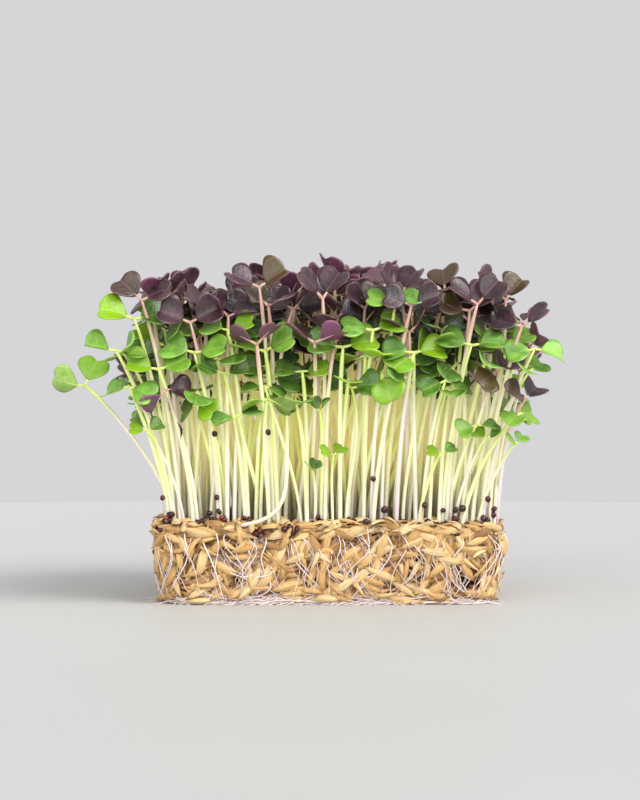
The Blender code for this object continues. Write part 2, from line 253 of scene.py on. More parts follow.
class Effects:
    """Node groups that more than one finish uses, built once."""

    def __init__(self) -> None:
        """Build the mottle, fibre, vein and depth groups."""
        self.mottle = self._group("mottle", {"Scale": 200.0, "Contrast": 0.3}, self._mottle)
        self.depth = self._group("depth", {"Half Width": 0.046, "Half Depth": 0.036}, self._depth)
        self.fibre = self._group("fibre", {"Along": 2.0, "Across": 14.0, "Tone": 0.0}, self._fibre)
        self.veins = self._group("veins", {"Pairs": 5.0, "Width": 0.1}, self._veins)

    @staticmethod
    def _group(
        name: str, inputs: dict[str, float], draw: Callable[[Sketch, dict[str, Socket]], Socket]
    ) -> bpy.types.NodeTree:
        """Build a node group with named inputs that puts out one mask.

        Args:
            name: the group's name.
            inputs: its float inputs and their defaults.
            draw: adds the group's nodes, given a sketch and the inputs, and returns the mask.

        Returns:
            The group.
        """
        group = bpy.data.node_groups.new(name, "ShaderNodeTree")
        for label, default in inputs.items():
            socket = group.interface.new_socket(label, in_out="INPUT", socket_type="NodeSocketFloat")
            socket.default_value = default
        group.interface.new_socket("Mask", in_out="OUTPUT", socket_type="NodeSocketFloat")
        start, end = group.nodes.new("NodeGroupInput"), group.nodes.new("NodeGroupOutput")
        given = {label: start.outputs[label] for label in inputs}
        group.links.new(draw(Sketch(group), given), end.inputs["Mask"])
        return group

    @staticmethod
    def _mottle(sketch: Sketch, given: dict[str, Socket]) -> Socket:
        """Cloudy patches in the piece's own space.

        Args:
            sketch: the group's sketch.
            given: the group's inputs.

        Returns:
            The mask.
        """
        cloud = sketch.noise(sketch.add("TexCoord").outputs["Object"], given["Scale"], 3.0)
        contrast = given["Contrast"]
        return sketch.range(cloud, sketch.minus(0.5, contrast), sketch.plus(0.5, contrast))

    @staticmethod
    def _fibre(sketch: Sketch, given: dict[str, Socket]) -> Socket:
        """Fine streaks that run along a stalk, husk or root.

        Args:
            sketch: the group's sketch.
            given: the group's inputs.

        Returns:
            The mask.
        """
        along, across = sketch.surface()
        x, y = sketch.times(along, given["Along"]), sketch.times(across, given["Across"])
        stretched = sketch.add("CombineXYZ", {0: x, 1: y, 2: sketch.times(given["Tone"], 37.0)})
        return sketch.ramp(sketch.noise(stretched.outputs[0], 1.0, 2.0), 0.34, 0.68)

    @staticmethod
    def _veins(sketch: Sketch, given: dict[str, Socket]) -> Socket:
        """A midrib and the side veins that leave it towards the leaf's edge.

        Args:
            sketch: the group's sketch.
            given: the group's inputs.

        Returns:
            The mask.
        """
        along, across = sketch.surface()
        across = sketch.size(sketch.minus(across, 0.5))
        midrib = sketch.minus(1.0, sketch.ramp(across, 0.0, 0.045))
        turns = sketch.times(sketch.minus(along, sketch.times(across, 0.75)), given["Pairs"])
        distance = sketch.size(sketch.minus(sketch.math("FRACT", turns), 0.5))
        side = sketch.range(distance, given["Width"], 0.0)
        fade = sketch.times(side, sketch.minus(1.0, sketch.ramp(across, 0.2, 0.5)))
        return sketch.math("MAXIMUM", midrib, sketch.times(fade, 0.45))

    @staticmethod
    def _depth(sketch: Sketch, given: dict[str, Socket]) -> Socket:
        """How deep inside the block a point stands, from its sides inwards.

        Args:
            sketch: the group's sketch.
            given: the group's inputs.

        Returns:
            The mask.
        """
        x, y, _ = sketch.place()
        sideways = sketch.math("DIVIDE", sketch.size(x), given["Half Width"])
        inward = sketch.math("DIVIDE", sketch.size(y), given["Half Depth"])
        return sketch.ramp(sketch.math("MAXIMUM", sideways, inward), 0.96, 0.6)


class Paint(Sketch):
    """A sketch of one material's nodes, with its shader's inputs and the shared effects."""

    def __init__(self, name: str, effects: Effects) -> None:
        """Make the material.

        Args:
            name: the material's name.
            effects: the shared node groups.
        """
        self.material = bpy.data.materials.new(name)
        self.material.use_nodes = True
        super().__init__(self.material.node_tree)
        self.effects = effects
        self.inputs = self.tree.nodes["Principled BSDF"].inputs

    def feed(self, **values: Value) -> None:
        """Set the shader's inputs, or link them, by their names with _ for each space."""
        for label, value in values.items():
            self.set(self.inputs[label.replace("_", " ")], value)

    def effect(self, name: str, **inputs: Value) -> Socket:
        """Place one of the shared effects and return its mask."""
        named = {label.replace("_", " "): value for label, value in inputs.items()}
        return self.add("Group", named, node_tree=getattr(self.effects, name)).outputs["Mask"]

    def bump(self, height: Socket, strength: float, distance: float) -> None:
        """Link a height to the shader's normal through a Bump node."""
        node = self.add("Bump", {"Height": height, "Strength": strength, "Distance": distance})
        self.feed(Normal=node.outputs["Normal"])


@dataclass(frozen=True)
class Finish:
    """What every finish has: its name, gloss and how much light it lets in."""

    name: str
    roughness: float
    subsurface: float = 0.0
    specular: float = 0.5

    def material(self, effects: Effects) -> bpy.types.Material:
        """Make the material: its constant values, then what the finish draws.

        Args:
            effects: the shared node groups.

        Returns:
            The material.
        """
        paint = Paint(self.name, effects)
        paint.feed(
            Roughness=self.roughness, Specular_IOR_Level=self.specular, Subsurface_Weight=self.subsurface,
            Subsurface_Radius=(1.0, 1.0, 0.4), Subsurface_Scale=0.8 * MM,
        )
        self.draw(paint)
        return paint.material

    def draw(self, paint: Paint) -> None:
        """Draw what sets this finish apart from a plain one."""


@dataclass(frozen=True, kw_only=True)
class LeafFinish(Finish):
    """A seed leaf: one colour range on its face, one on its underside, paler veins, and painted shade inside
    the block.
    """

    face_dark: Color
    face_light: Color
    face_other: Color
    under_dark: Color
    under_light: Color
    under_other: Color
    rim: Color
    vein: Color
    shade: Color
    vein_share: float
    sheen: float

    def colour(self, paint: Paint, veins: Socket) -> Socket:
        """Mix the blade's colour: its face or underside, then its rim, its veins and the painted shade
        inside.

        Args:
            paint: the material's nodes.
            veins: the mask of the veins.

        Returns:
            The colour.
        """
        tone = paint.attribute(TONE_NAME)
        cloud = paint.effect("mottle", Scale=300.0, Contrast=0.15)
        share = paint.plus(paint.times(tone, 0.52), paint.times(cloud, 0.48))
        is_other = paint.ramp(paint.math("FRACT", paint.times(tone, 7.31)), 0.45, 0.9)
        face = paint.mix(is_other, paint.mix(share, self.face_dark, self.face_light), self.face_other)
        under = paint.mix(is_other, paint.mix(share, self.under_dark, self.under_light), self.under_other)
        blade = paint.mix(paint.attribute(UNDER_NAME), face, under)
        surface = paint.add("UVMap", uv_map=UV_NAME).outputs[0]
        centred = paint.add("VectorMath", {0: surface, 1: (0.5, 0.5, 0.0)}, operation="SUBTRACT").outputs[0]
        radius = paint.add("VectorMath", {0: centred}, operation="LENGTH").outputs["Value"]
        rimmed = paint.mix(paint.times(paint.ramp(radius, 0.44, 0.5), 0.22), blade, self.rim)
        veined = paint.mix(paint.times(veins, self.vein_share), rimmed, self.vein)
        # Painted shade: blades deep inside the block and low under the crown darken towards the shade
        # colour.
        deep = paint.effect("depth", Half_Width=0.063, Half_Depth=0.05)
        low = paint.ramp(paint.place()[2], 0.094, 0.078)
        return paint.mix(paint.times(paint.times(deep, low), 0.86), veined, self.shade)

    def draw(self, paint: Paint) -> None:
        """Draw the leaf's colour, its patchy gloss, and the relief of its veins.

        Args:
            paint: the material's nodes.
        """
        veins = paint.effect("veins", Pairs=4.0, Width=0.1)
        grain = paint.effect("mottle", Scale=760.0, Contrast=0.25)
        paint.feed(
            Base_Color=self.colour(paint, veins),
            Roughness=paint.plus(self.roughness - 0.06, paint.times(grain, 0.14)),
            Sheen_Weight=self.sheen, Sheen_Roughness=0.4, Sheen_Tint=self.under_light,
        )
        paint.bump(paint.plus(paint.times(grain, 0.6), paint.times(veins, -0.8)), 0.45, 0.2 * MM)


@dataclass(frozen=True, kw_only=True)
class StemFinish(Finish):
    """A stem: pale at its foot, coloured in the middle and tinted under the leaves, with painted shade
    inside the block and under the canopy.
    """

    foot: Color
    foot_lilac: Color
    middle: Color
    middle_pale: Color
    top: Color
    # Painted shade: the next three colours stand for shade inside the block, near the foot there, and under
    # the leaves.
    inner: Color
    foot_shade: Color
    canopy_shade: Color = linear(80, 56, 28)
    streak: Color = linear(250, 248, 214)
    # Strength of a painted glow, in which the stem emits its own colour.
    glow: float = 0.3

    def colour(self, paint: Paint, along: Socket, deep: Socket) -> Socket:
        """Mix the stem's colour along its length, with painted shade inside the block and under the leaves.

        Args:
            paint: the material's nodes.
            along: how far up the stem a point lies.
            deep: how deep inside the block it stands.

        Returns:
            The colour, without its streaks.
        """
        tone = paint.attribute(TONE_NAME)
        shallow = paint.effect("depth", Half_Width=0.056, Half_Depth=0.2)
        is_end = paint.times(paint.minus(1.0, shallow), 0.42)
        lilac = paint.ramp(paint.plus(tone, is_end), 0.72, 0.95)
        foot = paint.mix(lilac, self.foot, self.foot_lilac)
        middle = paint.mix(tone, self.middle, self.middle_pale)
        middle = paint.mix(paint.times(lilac, 0.6), middle, self.foot_lilac)
        lower = paint.mix(paint.ramp(along, 0.02, 0.42), foot, middle)
        whole = paint.mix(paint.ramp(along, 0.66, 1.0), lower, self.top)
        # Painted shade inside the block: the stem turns towards a shade colour, darkest near its foot.
        inside = paint.mix(paint.ramp(along, 0.38, 0.04), self.inner, self.foot_shade)
        whole = paint.mix(paint.times(deep, 0.66), whole, inside)
        # Painted shade under the leaves: high up inside the block the stem darkens towards a shade colour.
        behind = paint.effect("depth", Half_Width=0.06, Half_Depth=0.047)
        canopy_shade = paint.times(behind, paint.ramp(paint.place()[2], 0.06, 0.08))
        return paint.mix(paint.times(canopy_shade, 0.75), whole, self.canopy_shade)

    def draw(self, paint: Paint) -> None:
        """Draw the stem's colour and streaks, and a painted glow above its foot.

        Args:
            paint: the material's nodes.
        """
        along, _ = paint.surface()
        deep = paint.effect("depth", Half_Width=0.046, Half_Depth=0.036)
        streaks = paint.effect("fibre", Along=3.0, Across=9.0, Tone=paint.attribute(TONE_NAME))
        colour = paint.mix(paint.times(streaks, 0.16), self.colour(paint, along, deep), self.streak)
        # Painted glow: above its foot the stem emits its own colour, more strongly inside the block.
        light = paint.times(paint.ramp(along, 0.08, 0.46), paint.plus(0.5, paint.times(deep, 0.6)))
        painted_glow_colour = paint.mix(light, BLACK, colour)
        paint.feed(Base_Color=colour, Emission_Color=painted_glow_colour, Emission_Strength=self.glow)
        paint.bump(streaks, 0.25, 0.1 * MM)


@dataclass(frozen=True, kw_only=True)
class HuskFinish(Finish):
    """A dry husk: golden, streaked along its length, browner at its tips and in its hollow, and darker with
    painted shade where it lies deep.
    """

    golden: Color
    straw: Color
    brown_and_shade: Color

    def draw(self, paint: Paint) -> None:
        """Draw the husk's golden colour, then each place where it is browner.

        Args:
            paint: the material's nodes.
        """
        tone = paint.attribute(TONE_NAME)
        along, _ = paint.surface()
        streaks = paint.effect("fibre", Along=2.4, Across=16.0, Tone=tone)
        tips = paint.ramp(paint.size(paint.minus(along, 0.5)), 0.36, 0.5)
        hollow = paint.attribute(UNDER_NAME)
        colour = paint.mix(paint.ramp(tone, 0.3, 1.0), self.golden, self.straw)
        # Painted shade as well as real colour: a low tone is browner, and husks that lie deep in the mat get
        # a low tone.
        browner = ((paint.ramp(tone, 0.4, 0.0), 0.9), (streaks, 0.3), (tips, 0.45), (hollow, 0.35))
        for mask, share in browner:
            colour = paint.mix(paint.times(mask, share), colour, self.brown_and_shade)
        paint.feed(Base_Color=colour)
        paint.bump(streaks, 0.6, 0.3 * MM)


@dataclass(frozen=True, kw_only=True)
class PlainFinish(Finish):
    """A finish of two colours, mixed by each copy's tone and a cloudy pattern, and a rare third one."""

    dark: Color
    light: Color
    rare: Color | None = None
    scale: float = 300.0
    relief: float = 0.3
    tone_share: float = 0.6

    def draw(self, paint: Paint) -> None:
        """Draw the mixed colours and a cloudy relief.

        Args:
            paint: the material's nodes.
        """
        cloud = paint.effect("mottle", Scale=self.scale, Contrast=0.25)
        tone = paint.attribute(TONE_NAME)
        share = paint.plus(paint.times(tone, self.tone_share), paint.times(cloud, 1 - self.tone_share))
        colour = paint.mix(share, self.dark, self.light)
        if self.rare is not None:
            colour = paint.mix(paint.ramp(tone, 0.93, 0.95), colour, self.rare)
        paint.feed(Base_Color=colour)
        paint.bump(cloud, self.relief, 0.2 * MM)


class Finishes:
    """Every material of the block."""

    def __init__(self) -> None:
        """Build the materials from their colours."""
        effects = Effects()
        self.leaf = {
            PURPLE: LeafFinish(
                "purple_leaf", 0.33, 0.05, 0.6,
                face_dark=linear(22, 11, 8), face_light=linear(98, 62, 74), face_other=linear(74, 58, 14),
                under_dark=linear(48, 26, 36), under_light=linear(138, 98, 116),
                under_other=linear(128, 68, 106), rim=linear(168, 122, 120), vein=linear(152, 108, 120),
                shade=linear(9, 4, 1), vein_share=0.24, sheen=0.15,
            ).material(effects),
            GREEN: LeafFinish(
                "green_leaf", 0.34, 0.1, 0.55,
                face_dark=linear(48, 90, 2), face_light=linear(146, 206, 84),
                face_other=linear(132, 178, 16), under_dark=linear(100, 146, 14),
                under_light=linear(176, 216, 112), under_other=linear(150, 196, 40),
                rim=linear(184, 212, 110), vein=linear(196, 218, 118), shade=linear(12, 24, 1),
                vein_share=0.3, sheen=0.08,
            ).material(effects),
        }
        self.stem = {
            PURPLE: StemFinish(
                "purple_stem", 0.4, 0.4, 0.5,
                foot=linear(228, 222, 206), foot_lilac=linear(212, 190, 208), middle=linear(236, 232, 180),
                middle_pale=linear(244, 240, 216), top=linear(198, 148, 140), inner=linear(220, 202, 118),
                foot_shade=linear(88, 66, 26),
            ).material(effects),
            GREEN: StemFinish(
                "green_stem", 0.4, 0.4, 0.5,
                foot=linear(228, 227, 206), foot_lilac=linear(218, 202, 214), middle=linear(232, 236, 162),
                middle_pale=linear(243, 244, 204), top=linear(200, 220, 106), inner=linear(214, 212, 104),
                foot_shade=linear(84, 70, 24),
            ).material(effects),
        }
        self.husk = HuskFinish(
            "husk", 0.48, 0.08, 0.5,
            golden=linear(232, 187, 119), straw=linear(249, 222, 168), brown_and_shade=linear(104, 46, 16),
        ).material(effects)
        # Painted shade: the dark bed stands for the shade in the gaps between the husks.
        self.bed = PlainFinish(
            "husk_gap_shade", 0.85, dark=linear(46, 20, 6), light=linear(108, 58, 22), scale=420.0,
            tone_share=0.0,
        ).material(effects)
        self.root = PlainFinish(
            "white_root", 0.45, 0.2, dark=linear(228, 206, 196), light=linear(248, 238, 232), scale=500.0,
        ).material(effects)
        self.felt = PlainFinish(
            "root_felt", 0.8, 0.1, dark=linear(186, 158, 136), light=linear(226, 208, 194), scale=900.0,
            relief=0.9, tone_share=0.0,
        ).material(effects)
        self.seed = PlainFinish(
            "seed_coat", 0.24, dark=linear(24, 7, 10), light=linear(78, 20, 22), rare=linear(160, 74, 34),
            scale=900.0, tone_share=0.8,
        ).material(effects)
        self.floor = PlainFinish(
            "pale_floor", 0.55, dark=linear(183, 182, 180), light=linear(187, 186, 184), scale=6.0,
            relief=0.0, tone_share=0.0,
        ).material(effects)


# The layout of the seedlings, the same as the frame's


@dataclass(frozen=True)
class MatSize:
    """The mat's block: it narrows towards its underside and has rounded upright edges."""

    width: float = 93.5 * MM
    depth: float = 71.5 * MM
    height: float = 20.4 * MM
    taper: float = 0.95
    corner: float = 8.0 * MM

    @property
    def around(self) -> float:
        """Length of the block's outline."""
        return 2 * (self.width + self.depth) - (8 - 2 * math.pi) * self.corner

    def front_share(self, x: float) -> float:
        """Share of the outline that lies at a place along the front."""
        return (x + self.width / 2 - self.corner) / self.around

    def holds(self, x: float, y: float, inset: float) -> bool:
        """Test whether a place on top lies inside the rim.

        Args:
            x, y: the place.
            inset: how far inside the rim it must lie.

        Returns:
            Whether it does.
        """
        radius = max(self.corner, inset + 1.0 * MM)
        core_x = max(0.0, abs(x) - (self.width / 2 - radius))
        core_y = max(0.0, abs(y) - (self.depth / 2 - radius))
        return math.hypot(core_x, core_y) <= radius - inset

    def outline(self, share: float, inset: float, height: float) -> tuple[Vector, Vector]:
        """Find a point of the block's outline.

        Args:
            share: how far round the outline, from 0 to 1, starting at the front's left end.
            inset: how far inside the block's side.
            height: the level over the underside.

        Returns:
            The point at level 0 and the way out from it.
        """
        scale = self.taper + (1.0 - self.taper) * height / self.height
        half_x = self.width / 2 * scale - inset
        half_y = self.depth / 2 * scale - inset
        corner = max(self.corner - inset, 0.5 * MM)
        straight_x = 2 * (half_x - corner)
        straight_y = 2 * (half_y - corner)
        arc = corner * math.pi / 2
        walk = share % 1.0 * (2 * straight_x + 2 * straight_y + 4 * arc)
        for quarter in range(4):
            straight = straight_x if quarter % 2 == 0 else straight_y
            turn = Matrix.Rotation(quarter * math.pi / 2, 3, "Z")
            reach = half_y if quarter % 2 == 0 else half_x
            if walk < straight:
                return turn @ Vector((walk - straight / 2, -reach, 0.0)), turn @ Vector((0.0, -1.0, 0.0))
            walk -= straight
            if walk < arc:
                angle = walk / corner
                out = Vector((math.sin(angle), -math.cos(angle), 0.0))
                return turn @ (Vector((straight / 2, corner - reach, 0.0)) + out * corner), turn @ out
            walk -= arc
        return Vector((-straight_x / 2, -half_y, 0.0)), Vector((0.0, -1.0, 0.0))

    def at(self, share: float, inset: float, height: float, lift: float = 0.0) -> Vector:
        """Find a point of the block's outline at its own height, or lifted from it."""
        return self.outline(share, inset, height)[0] + UP * (height + lift)

    def draw_inside(self, rng: Random, width_share: float, depth_share: float) -> Vector:
        """Draw a place within given shares of the mat's size to each side of its middle, at level 0."""
        half_x, half_y = width_share * self.width, depth_share * self.depth
        return Vector((rng.uniform(-half_x, half_x), rng.uniform(-half_y, half_y), 0.0))


@dataclass
class Sprout:
    """One seedling: its stem's ends and bow, and the yaw, pitches, rolls and size of its leaves."""

    foot: Vector
    head: Vector
    bow: Vector
    yaws: tuple[float, float]
    pitches: tuple[float, float]
    rolls: tuple[float, float]
    size: float
    tone: float | None = None
    is_inner: bool = False

    start_lean = 0.06
    end_lean = 0.52
    leaf_drop = 0.7 * MM

    def path(self, steps: int) -> list[Vector]:
        """Find points along the stem.

        Args:
            steps: how many steps the path has, which is one less than its points.

        Returns:
            Points from the stem's foot in the mat to the joint of its leaves.
        """
        rise = self.head - self.foot
        lean = Vector((rise.x * self.start_lean, rise.y * self.start_lean, rise.z / 3))
        low = self.foot + lean + self.bow * 0.25
        lean = Vector((rise.x * self.end_lean, rise.y * self.end_lean, rise.z * 2 / 3))
        high = self.foot + lean - self.bow
        return interpolate_bezier(self.foot, low, high, self.head, steps + 1)

    def leaf_frame(self, side: int) -> Matrix:
        """Find where a leaf is.

        Args:
            side: which leaf of the pair, 0 or 1.

        Returns:
            Its frame: x runs out along its midrib, y across it, z out of its upper face.
        """
        return (
            Matrix.Translation(self.head - Vector((0.0, 0.0, self.leaf_drop)))
            @ Matrix.Rotation(self.yaws[side], 4, "Z")
            @ Matrix.Rotation(-self.pitches[side], 4, "Y")
            @ Matrix.Rotation(self.rolls[side], 4, "X")
            @ Matrix.Scale(self.size, 4)
        )


@dataclass
class Clump:
    """The seedlings that come out of one hole, and the colour of their leaves."""

    foot: Vector
    color: LeafColor
    sprouts: list[Sprout]


@dataclass
class Room:
    """A grid of cells that marks what each seedling fills, with some clearance round it."""

    clearance: float
    cell: float = 1.0 * MM
    owners: dict[Cell, int] = field(default_factory=dict)

    def __post_init__(self) -> None:
        """Work out which cells round a point its clearance fills."""
        span = range(-2, 3)
        limit = (self.clearance / self.cell) ** 2
        self.reach = [(i, j, k) for i in span for j in span for k in span if i * i + j * j + k * k <= limit]

    def at(self, point: Vector) -> Cell:
        """Cell that holds a point."""
        return tuple(math.floor(value / self.cell) for value in point)

    def is_free(self, points: list[Vector], owner: int, shared_top: float) -> bool:
        """Whether points keep clear of all others.

        Args:
            points: the points to test.
            owner: the clump that they belong to.
            shared_top: the level up to which a clump's own stems may come together.

        Returns:
            Whether they all do.
        """
        for point in points:
            found = self.owners.get(self.at(point))
            if found is None:
                continue
            if found != owner or point.z > shared_top:
                return False
        return True

    def take(self, points: list[Vector], owner: int) -> None:
        """Mark the cells that a seedling fills.

        Args:
            points: points spread over the seedling.
            owner: its clump.
        """
        for point in points:
            x, y, z = self.at(point)
            for i, j, k in self.reach:
                self.owners[(x + i, y + j, z + k)] = owner


@dataclass
class Thicket:
    """Marks what the seedlings fill more finely: no stem may cross a blade, and blades may only brush."""

    leaf_length: float
    leaf_width: float
    leaf_fold: float
    core: float = 0.55
    cell: float = 1.0 * MM
    stems: set[Cell] = field(default_factory=set)
    blades: set[Cell] = field(default_factory=set)
    cores: set[Cell] = field(default_factory=set)

    def __post_init__(self) -> None:
        """Spread points over a blade, in its own frame, those of its core apart."""
        self.blade_points = []
        self.core_points = []
        for ring in range(1, 6):
            for step in range(4 * ring):
                angle = 2 * math.pi * step / (4 * ring)
                along, across = math.cos(angle) * ring / 5.6, math.sin(angle) * ring / 5.6
                y = across * self.leaf_width / 2
                point = Vector(((0.6 + 0.4 * along) * self.leaf_length, y, self.leaf_fold * abs(y)))
                self.blade_points.append(point)
                if ring / 5.6 <= self.core:
                    self.core_points.append(point)

    def cells(self, points: list[Vector]) -> set[Cell]:
        """Cells that hold the points."""
        return {tuple(math.floor(value / self.cell) for value in point) for point in points}

    def try_take(self, sprout: Sprout, is_sure: bool = False) -> bool:
        """Mark a seedling's cells if they are free.

        Args:
            sprout: the seedling.
            is_sure: whether it is placed whatever it meets.

        Returns:
            Whether it was placed.
        """
        stem = self.cells(sprout.path(int((sprout.head - sprout.foot).length / (0.7 * MM))))
        if not is_sure and (stem & self.stems or stem & self.blades):
            return False
        frames = [sprout.leaf_frame(side) for side in (0, 1)]
        cores = self.cells([frame @ point for frame in frames for point in self.core_points])
        if not is_sure and cores & self.cores:
            return False
        blades = self.cells([frame @ point for frame in frames for point in self.blade_points])
        if not is_sure and blades & self.stems:
            return False
        self.stems |= stem
        self.blades |= blades
        self.cores |= cores
        return True


@dataclass(frozen=True)
class Feature:
    """A seedling that the front view shows clearly, placed one by one: its pitches and rolls in degrees."""

    color: LeafColor
    head: tuple[float, float]
    yaw: float
    rolls: tuple[float, float]
    pitches: tuple[float, float]
    size: float
    front: float = -41.0
    tone: float | None = None

    def sprout(self, mat: MatSize) -> Sprout:
        """Stand it at the front of the mat.

        Args:
            mat: the mat that it grows from.

        Returns:
            The seedling.
        """
        x, z = self.head
        half = mat.width / 2 - 5.0 * MM
        foot_x = max(-half, min(half, x * MM * 0.8))
        foot = Vector((foot_x, -mat.depth / 2 + 3.0 * MM, mat.height - 1.0 * MM))
        head = Vector((x, self.front, z)) * MM
        yaws = (self.yaw, self.yaw + math.pi - 0.1)
        rolls = tuple(math.radians(angle) for angle in self.rolls)
        pitches = tuple(math.radians(angle) for angle in self.pitches)
        bow = Vector((math.copysign(1.0, x), 0.0, 0.0)) * MM
        return Sprout(foot, head, bow, yaws, pitches, rolls, self.size, self.tone)


@dataclass
class Layout:
    """Where every seedling stands. The clumps repeat the frame's draw, step by step."""

    mat: MatSize = field(default_factory=MatSize)
    seed_sunk: float = 0.3 * MM
    seed_radius: float = 1.75 * MM
    columns: int = 7
    rows: int = 6
    pitch_x: float = 12.5 * MM
    pitch_y: float = 11.1 * MM
    jitter: float = 1.3 * MM
    sprouts_in_clump: int = 2
    green_pattern: tuple[int, ...] = (1, 4)
    pattern_length: int = 5
    foot_spread: float = 0.75 * MM
    stem_bow: float = 3.0 * MM
    fan_x: float = 1.25
    fan_y: float = 1.42
    head_jitter: float = 5.5 * MM
    most_lean: float = 0.34
    crown_height: float = 92.5 * MM
    crown_drop_x: float = 13.0 * MM
    crown_drop_y: float = 7.0 * MM
    purple_band: float = 15.0 * MM
    green_top: float = 14.0 * MM
    green_band: float = 17.0 * MM
    half_width: float = 57.0 * MM
    half_depth: float = 45.0 * MM
    leaf_length: float = 9.0 * MM
    leaf_width: float = 9.2 * MM
    leaf_fold: float = 0.22
    leaf_sizes: tuple[float, float] = (0.86, 1.06)
    purple_pitch: tuple[float, float] = (math.radians(4), math.radians(56))
    green_pitch: tuple[float, float] = (math.radians(-28), math.radians(34))
    leaf_roll: float = math.radians(34)
    leaf_twist: float = math.radians(14)
    clearance: float = 2.0 * MM
    shared_stem: float = 16.0 * MM
    sample_step: float = 1.15 * MM
    tries: int = 90
    lone_foot: tuple[float, float] = (-41.5 * MM, -29.5 * MM)
    lone_head: tuple[float, float, float] = (-66.0 * MM, -34.0 * MM, 60.0 * MM)
    filler_columns: int = 26
    filler_rows: int = 18
    filler_tries: int = 70
    rim_fillers: int = 260
    filler_half_depth: float = 40.0 * MM
    low_half_width: float = 47.0 * MM

    def samples(self, sprout: Sprout) -> list[Vector]:
        """Spread points over a seedling's stem and leaves, about one step apart.

        Args:
            sprout: the seedling.

        Returns:
            The points.
        """
        length = (sprout.head - sprout.foot).length
        points = list(sprout.path(int(length / self.sample_step)))
        for side in (0, 1):
            place = sprout.leaf_frame(side)
            for row in range(1, 9):
                along = row / 8
                half = self.leaf_width / 2 * math.sin(math.pi * min(1.0, 0.12 + 0.76 * along)) ** 0.8
                for column in range(-4, 5):
                    across = column * self.sample_step
                    if abs(across) <= half:
                        local = Vector((along * self.leaf_length, across, self.leaf_fold * abs(across)))
                        points.append(place @ local)
        return points

    def crown(self, x: float, y: float) -> float:
        """Height of the top of the leaves over a place, lower towards the rim."""
        side_drop = self.crown_drop_x * abs(x / self.half_width) ** 2.4
        return self.crown_height - side_drop - self.crown_drop_y * abs(y / self.half_depth) ** 2.4

    def draw(self, rng: Random, foot: Vector, turn: float, color: LeafColor, reach: float) -> Sprout:
        """Draw one seedling that fans out from the middle of the block.

        Args:
            rng: the seeded draw.
            foot: the middle of its clump.
            turn: the side of the clump that its stem starts from.
            color: the colour of its leaves.
            reach: how far the draw is widened.

        Returns:
            The seedling, which may still cross another.
        """
        jitter = self.head_jitter * reach
        x = foot.x * self.fan_x + rng.uniform(-jitter, jitter)
        y = foot.y * self.fan_y + rng.uniform(-jitter, jitter)
        x = max(-self.half_width, min(self.half_width, x))
        y = max(-self.half_depth, min(self.half_depth, y))
        top = self.crown(x, y)
        if color is PURPLE:
            z = top - rng.uniform(0.0, self.purple_band)
            pitch_range = self.purple_pitch
        else:
            z = (self.crown_height + top) / 2 - self.green_top - rng.uniform(0.0, self.green_band)
            pitch_range = self.green_pitch
        angle = rng.uniform(0.0, 2 * math.pi)
        bow = heading(angle) * rng.uniform(0.0, self.stem_bow)
        yaw = rng.uniform(0.0, math.pi)
        opposite = yaw + math.pi + rng.uniform(-self.leaf_twist, self.leaf_twist)
        pitches = (rng.uniform(*pitch_range), rng.uniform(*pitch_range))
        rolls = (rng.uniform(-self.leaf_roll, self.leaf_roll), rng.uniform(-self.leaf_roll, self.leaf_roll))
        size = rng.uniform(*self.leaf_sizes)
        start = foot + heading(turn) * self.foot_spread
        return Sprout(start, Vector((x, y, z)), bow, (yaw, opposite), pitches, rolls, size)

    def lone_clump(self, foot_height: float) -> Clump:
        """Place the long seedling at the left end, whose leaf pair stands beside the block.

        Args:
            foot_height: the level of its foot.

        Returns:
            The clump that it makes alone.
        """
        foot = Vector((*self.lone_foot, foot_height))
        yaws = (math.radians(188), math.radians(35))
        pitches = (math.radians(10), math.radians(62))
        rolls = (math.radians(52), math.radians(40))
        bow = Vector((-1.0 * MM, 0.0, 0.0))
        sprout = Sprout(foot.copy(), Vector(self.lone_head), bow, yaws, pitches, rolls, 1.0)
        return Clump(foot, GREEN, [sprout])

    def clumps(self) -> list[Clump]:
        """Place every clump of the frame.

        Returns:
            The clumps, in the frame's order.
        """
        rng = Random(SEED)
        gap = 0.35 * MM
        hole_radius = (self.seed_radius + gap) / math.cos(math.pi / 6)
        foot_height = self.mat.height - self.seed_sunk
        placed = [self.lone_clump(foot_height)]
        room = Room(self.clearance)
        room.take(self.samples(placed[0].sprouts[0]), 0)
        shared_top = self.mat.height + self.shared_stem
        for row in range(self.rows):
            for column in range(self.columns):
                stagger = 0.25 if row % 2 else -0.25
                x = (column - (self.columns - 1) / 2 + stagger) * self.pitch_x
                y = (row - (self.rows - 1) / 2) * self.pitch_y
                x += rng.uniform(-self.jitter, self.jitter)
                y += rng.uniform(-self.jitter, self.jitter)
                foot = Vector((x, y, foot_height))
                if (foot - placed[0].foot).length < 2 * hole_radius + 2 * MM:
                    continue
                is_green = (column + 2 * row) % self.pattern_length in self.green_pattern
                clump = Clump(foot, GREEN if is_green else PURPLE, [])
                index = len(placed)
                turn = rng.uniform(0.0, math.pi)
                for number in range(self.sprouts_in_clump):
                    foot_turn = turn + number * 2 * math.pi / self.sprouts_in_clump
                    for attempt in range(self.tries):
                        sprout = self.draw(rng, foot, foot_turn, clump.color, 1.0 + attempt / self.tries)
                        rise = sprout.head - sprout.foot
                        if rise.xy.length > self.most_lean * rise.z:
                            continue
                        points = self.samples(sprout)
                        if room.is_free(points, index, shared_top):
                            room.take(points, index)
                            clump.sprouts.append(sprout)
                            break
                if clump.sprouts:
                    placed.append(clump)
        return placed

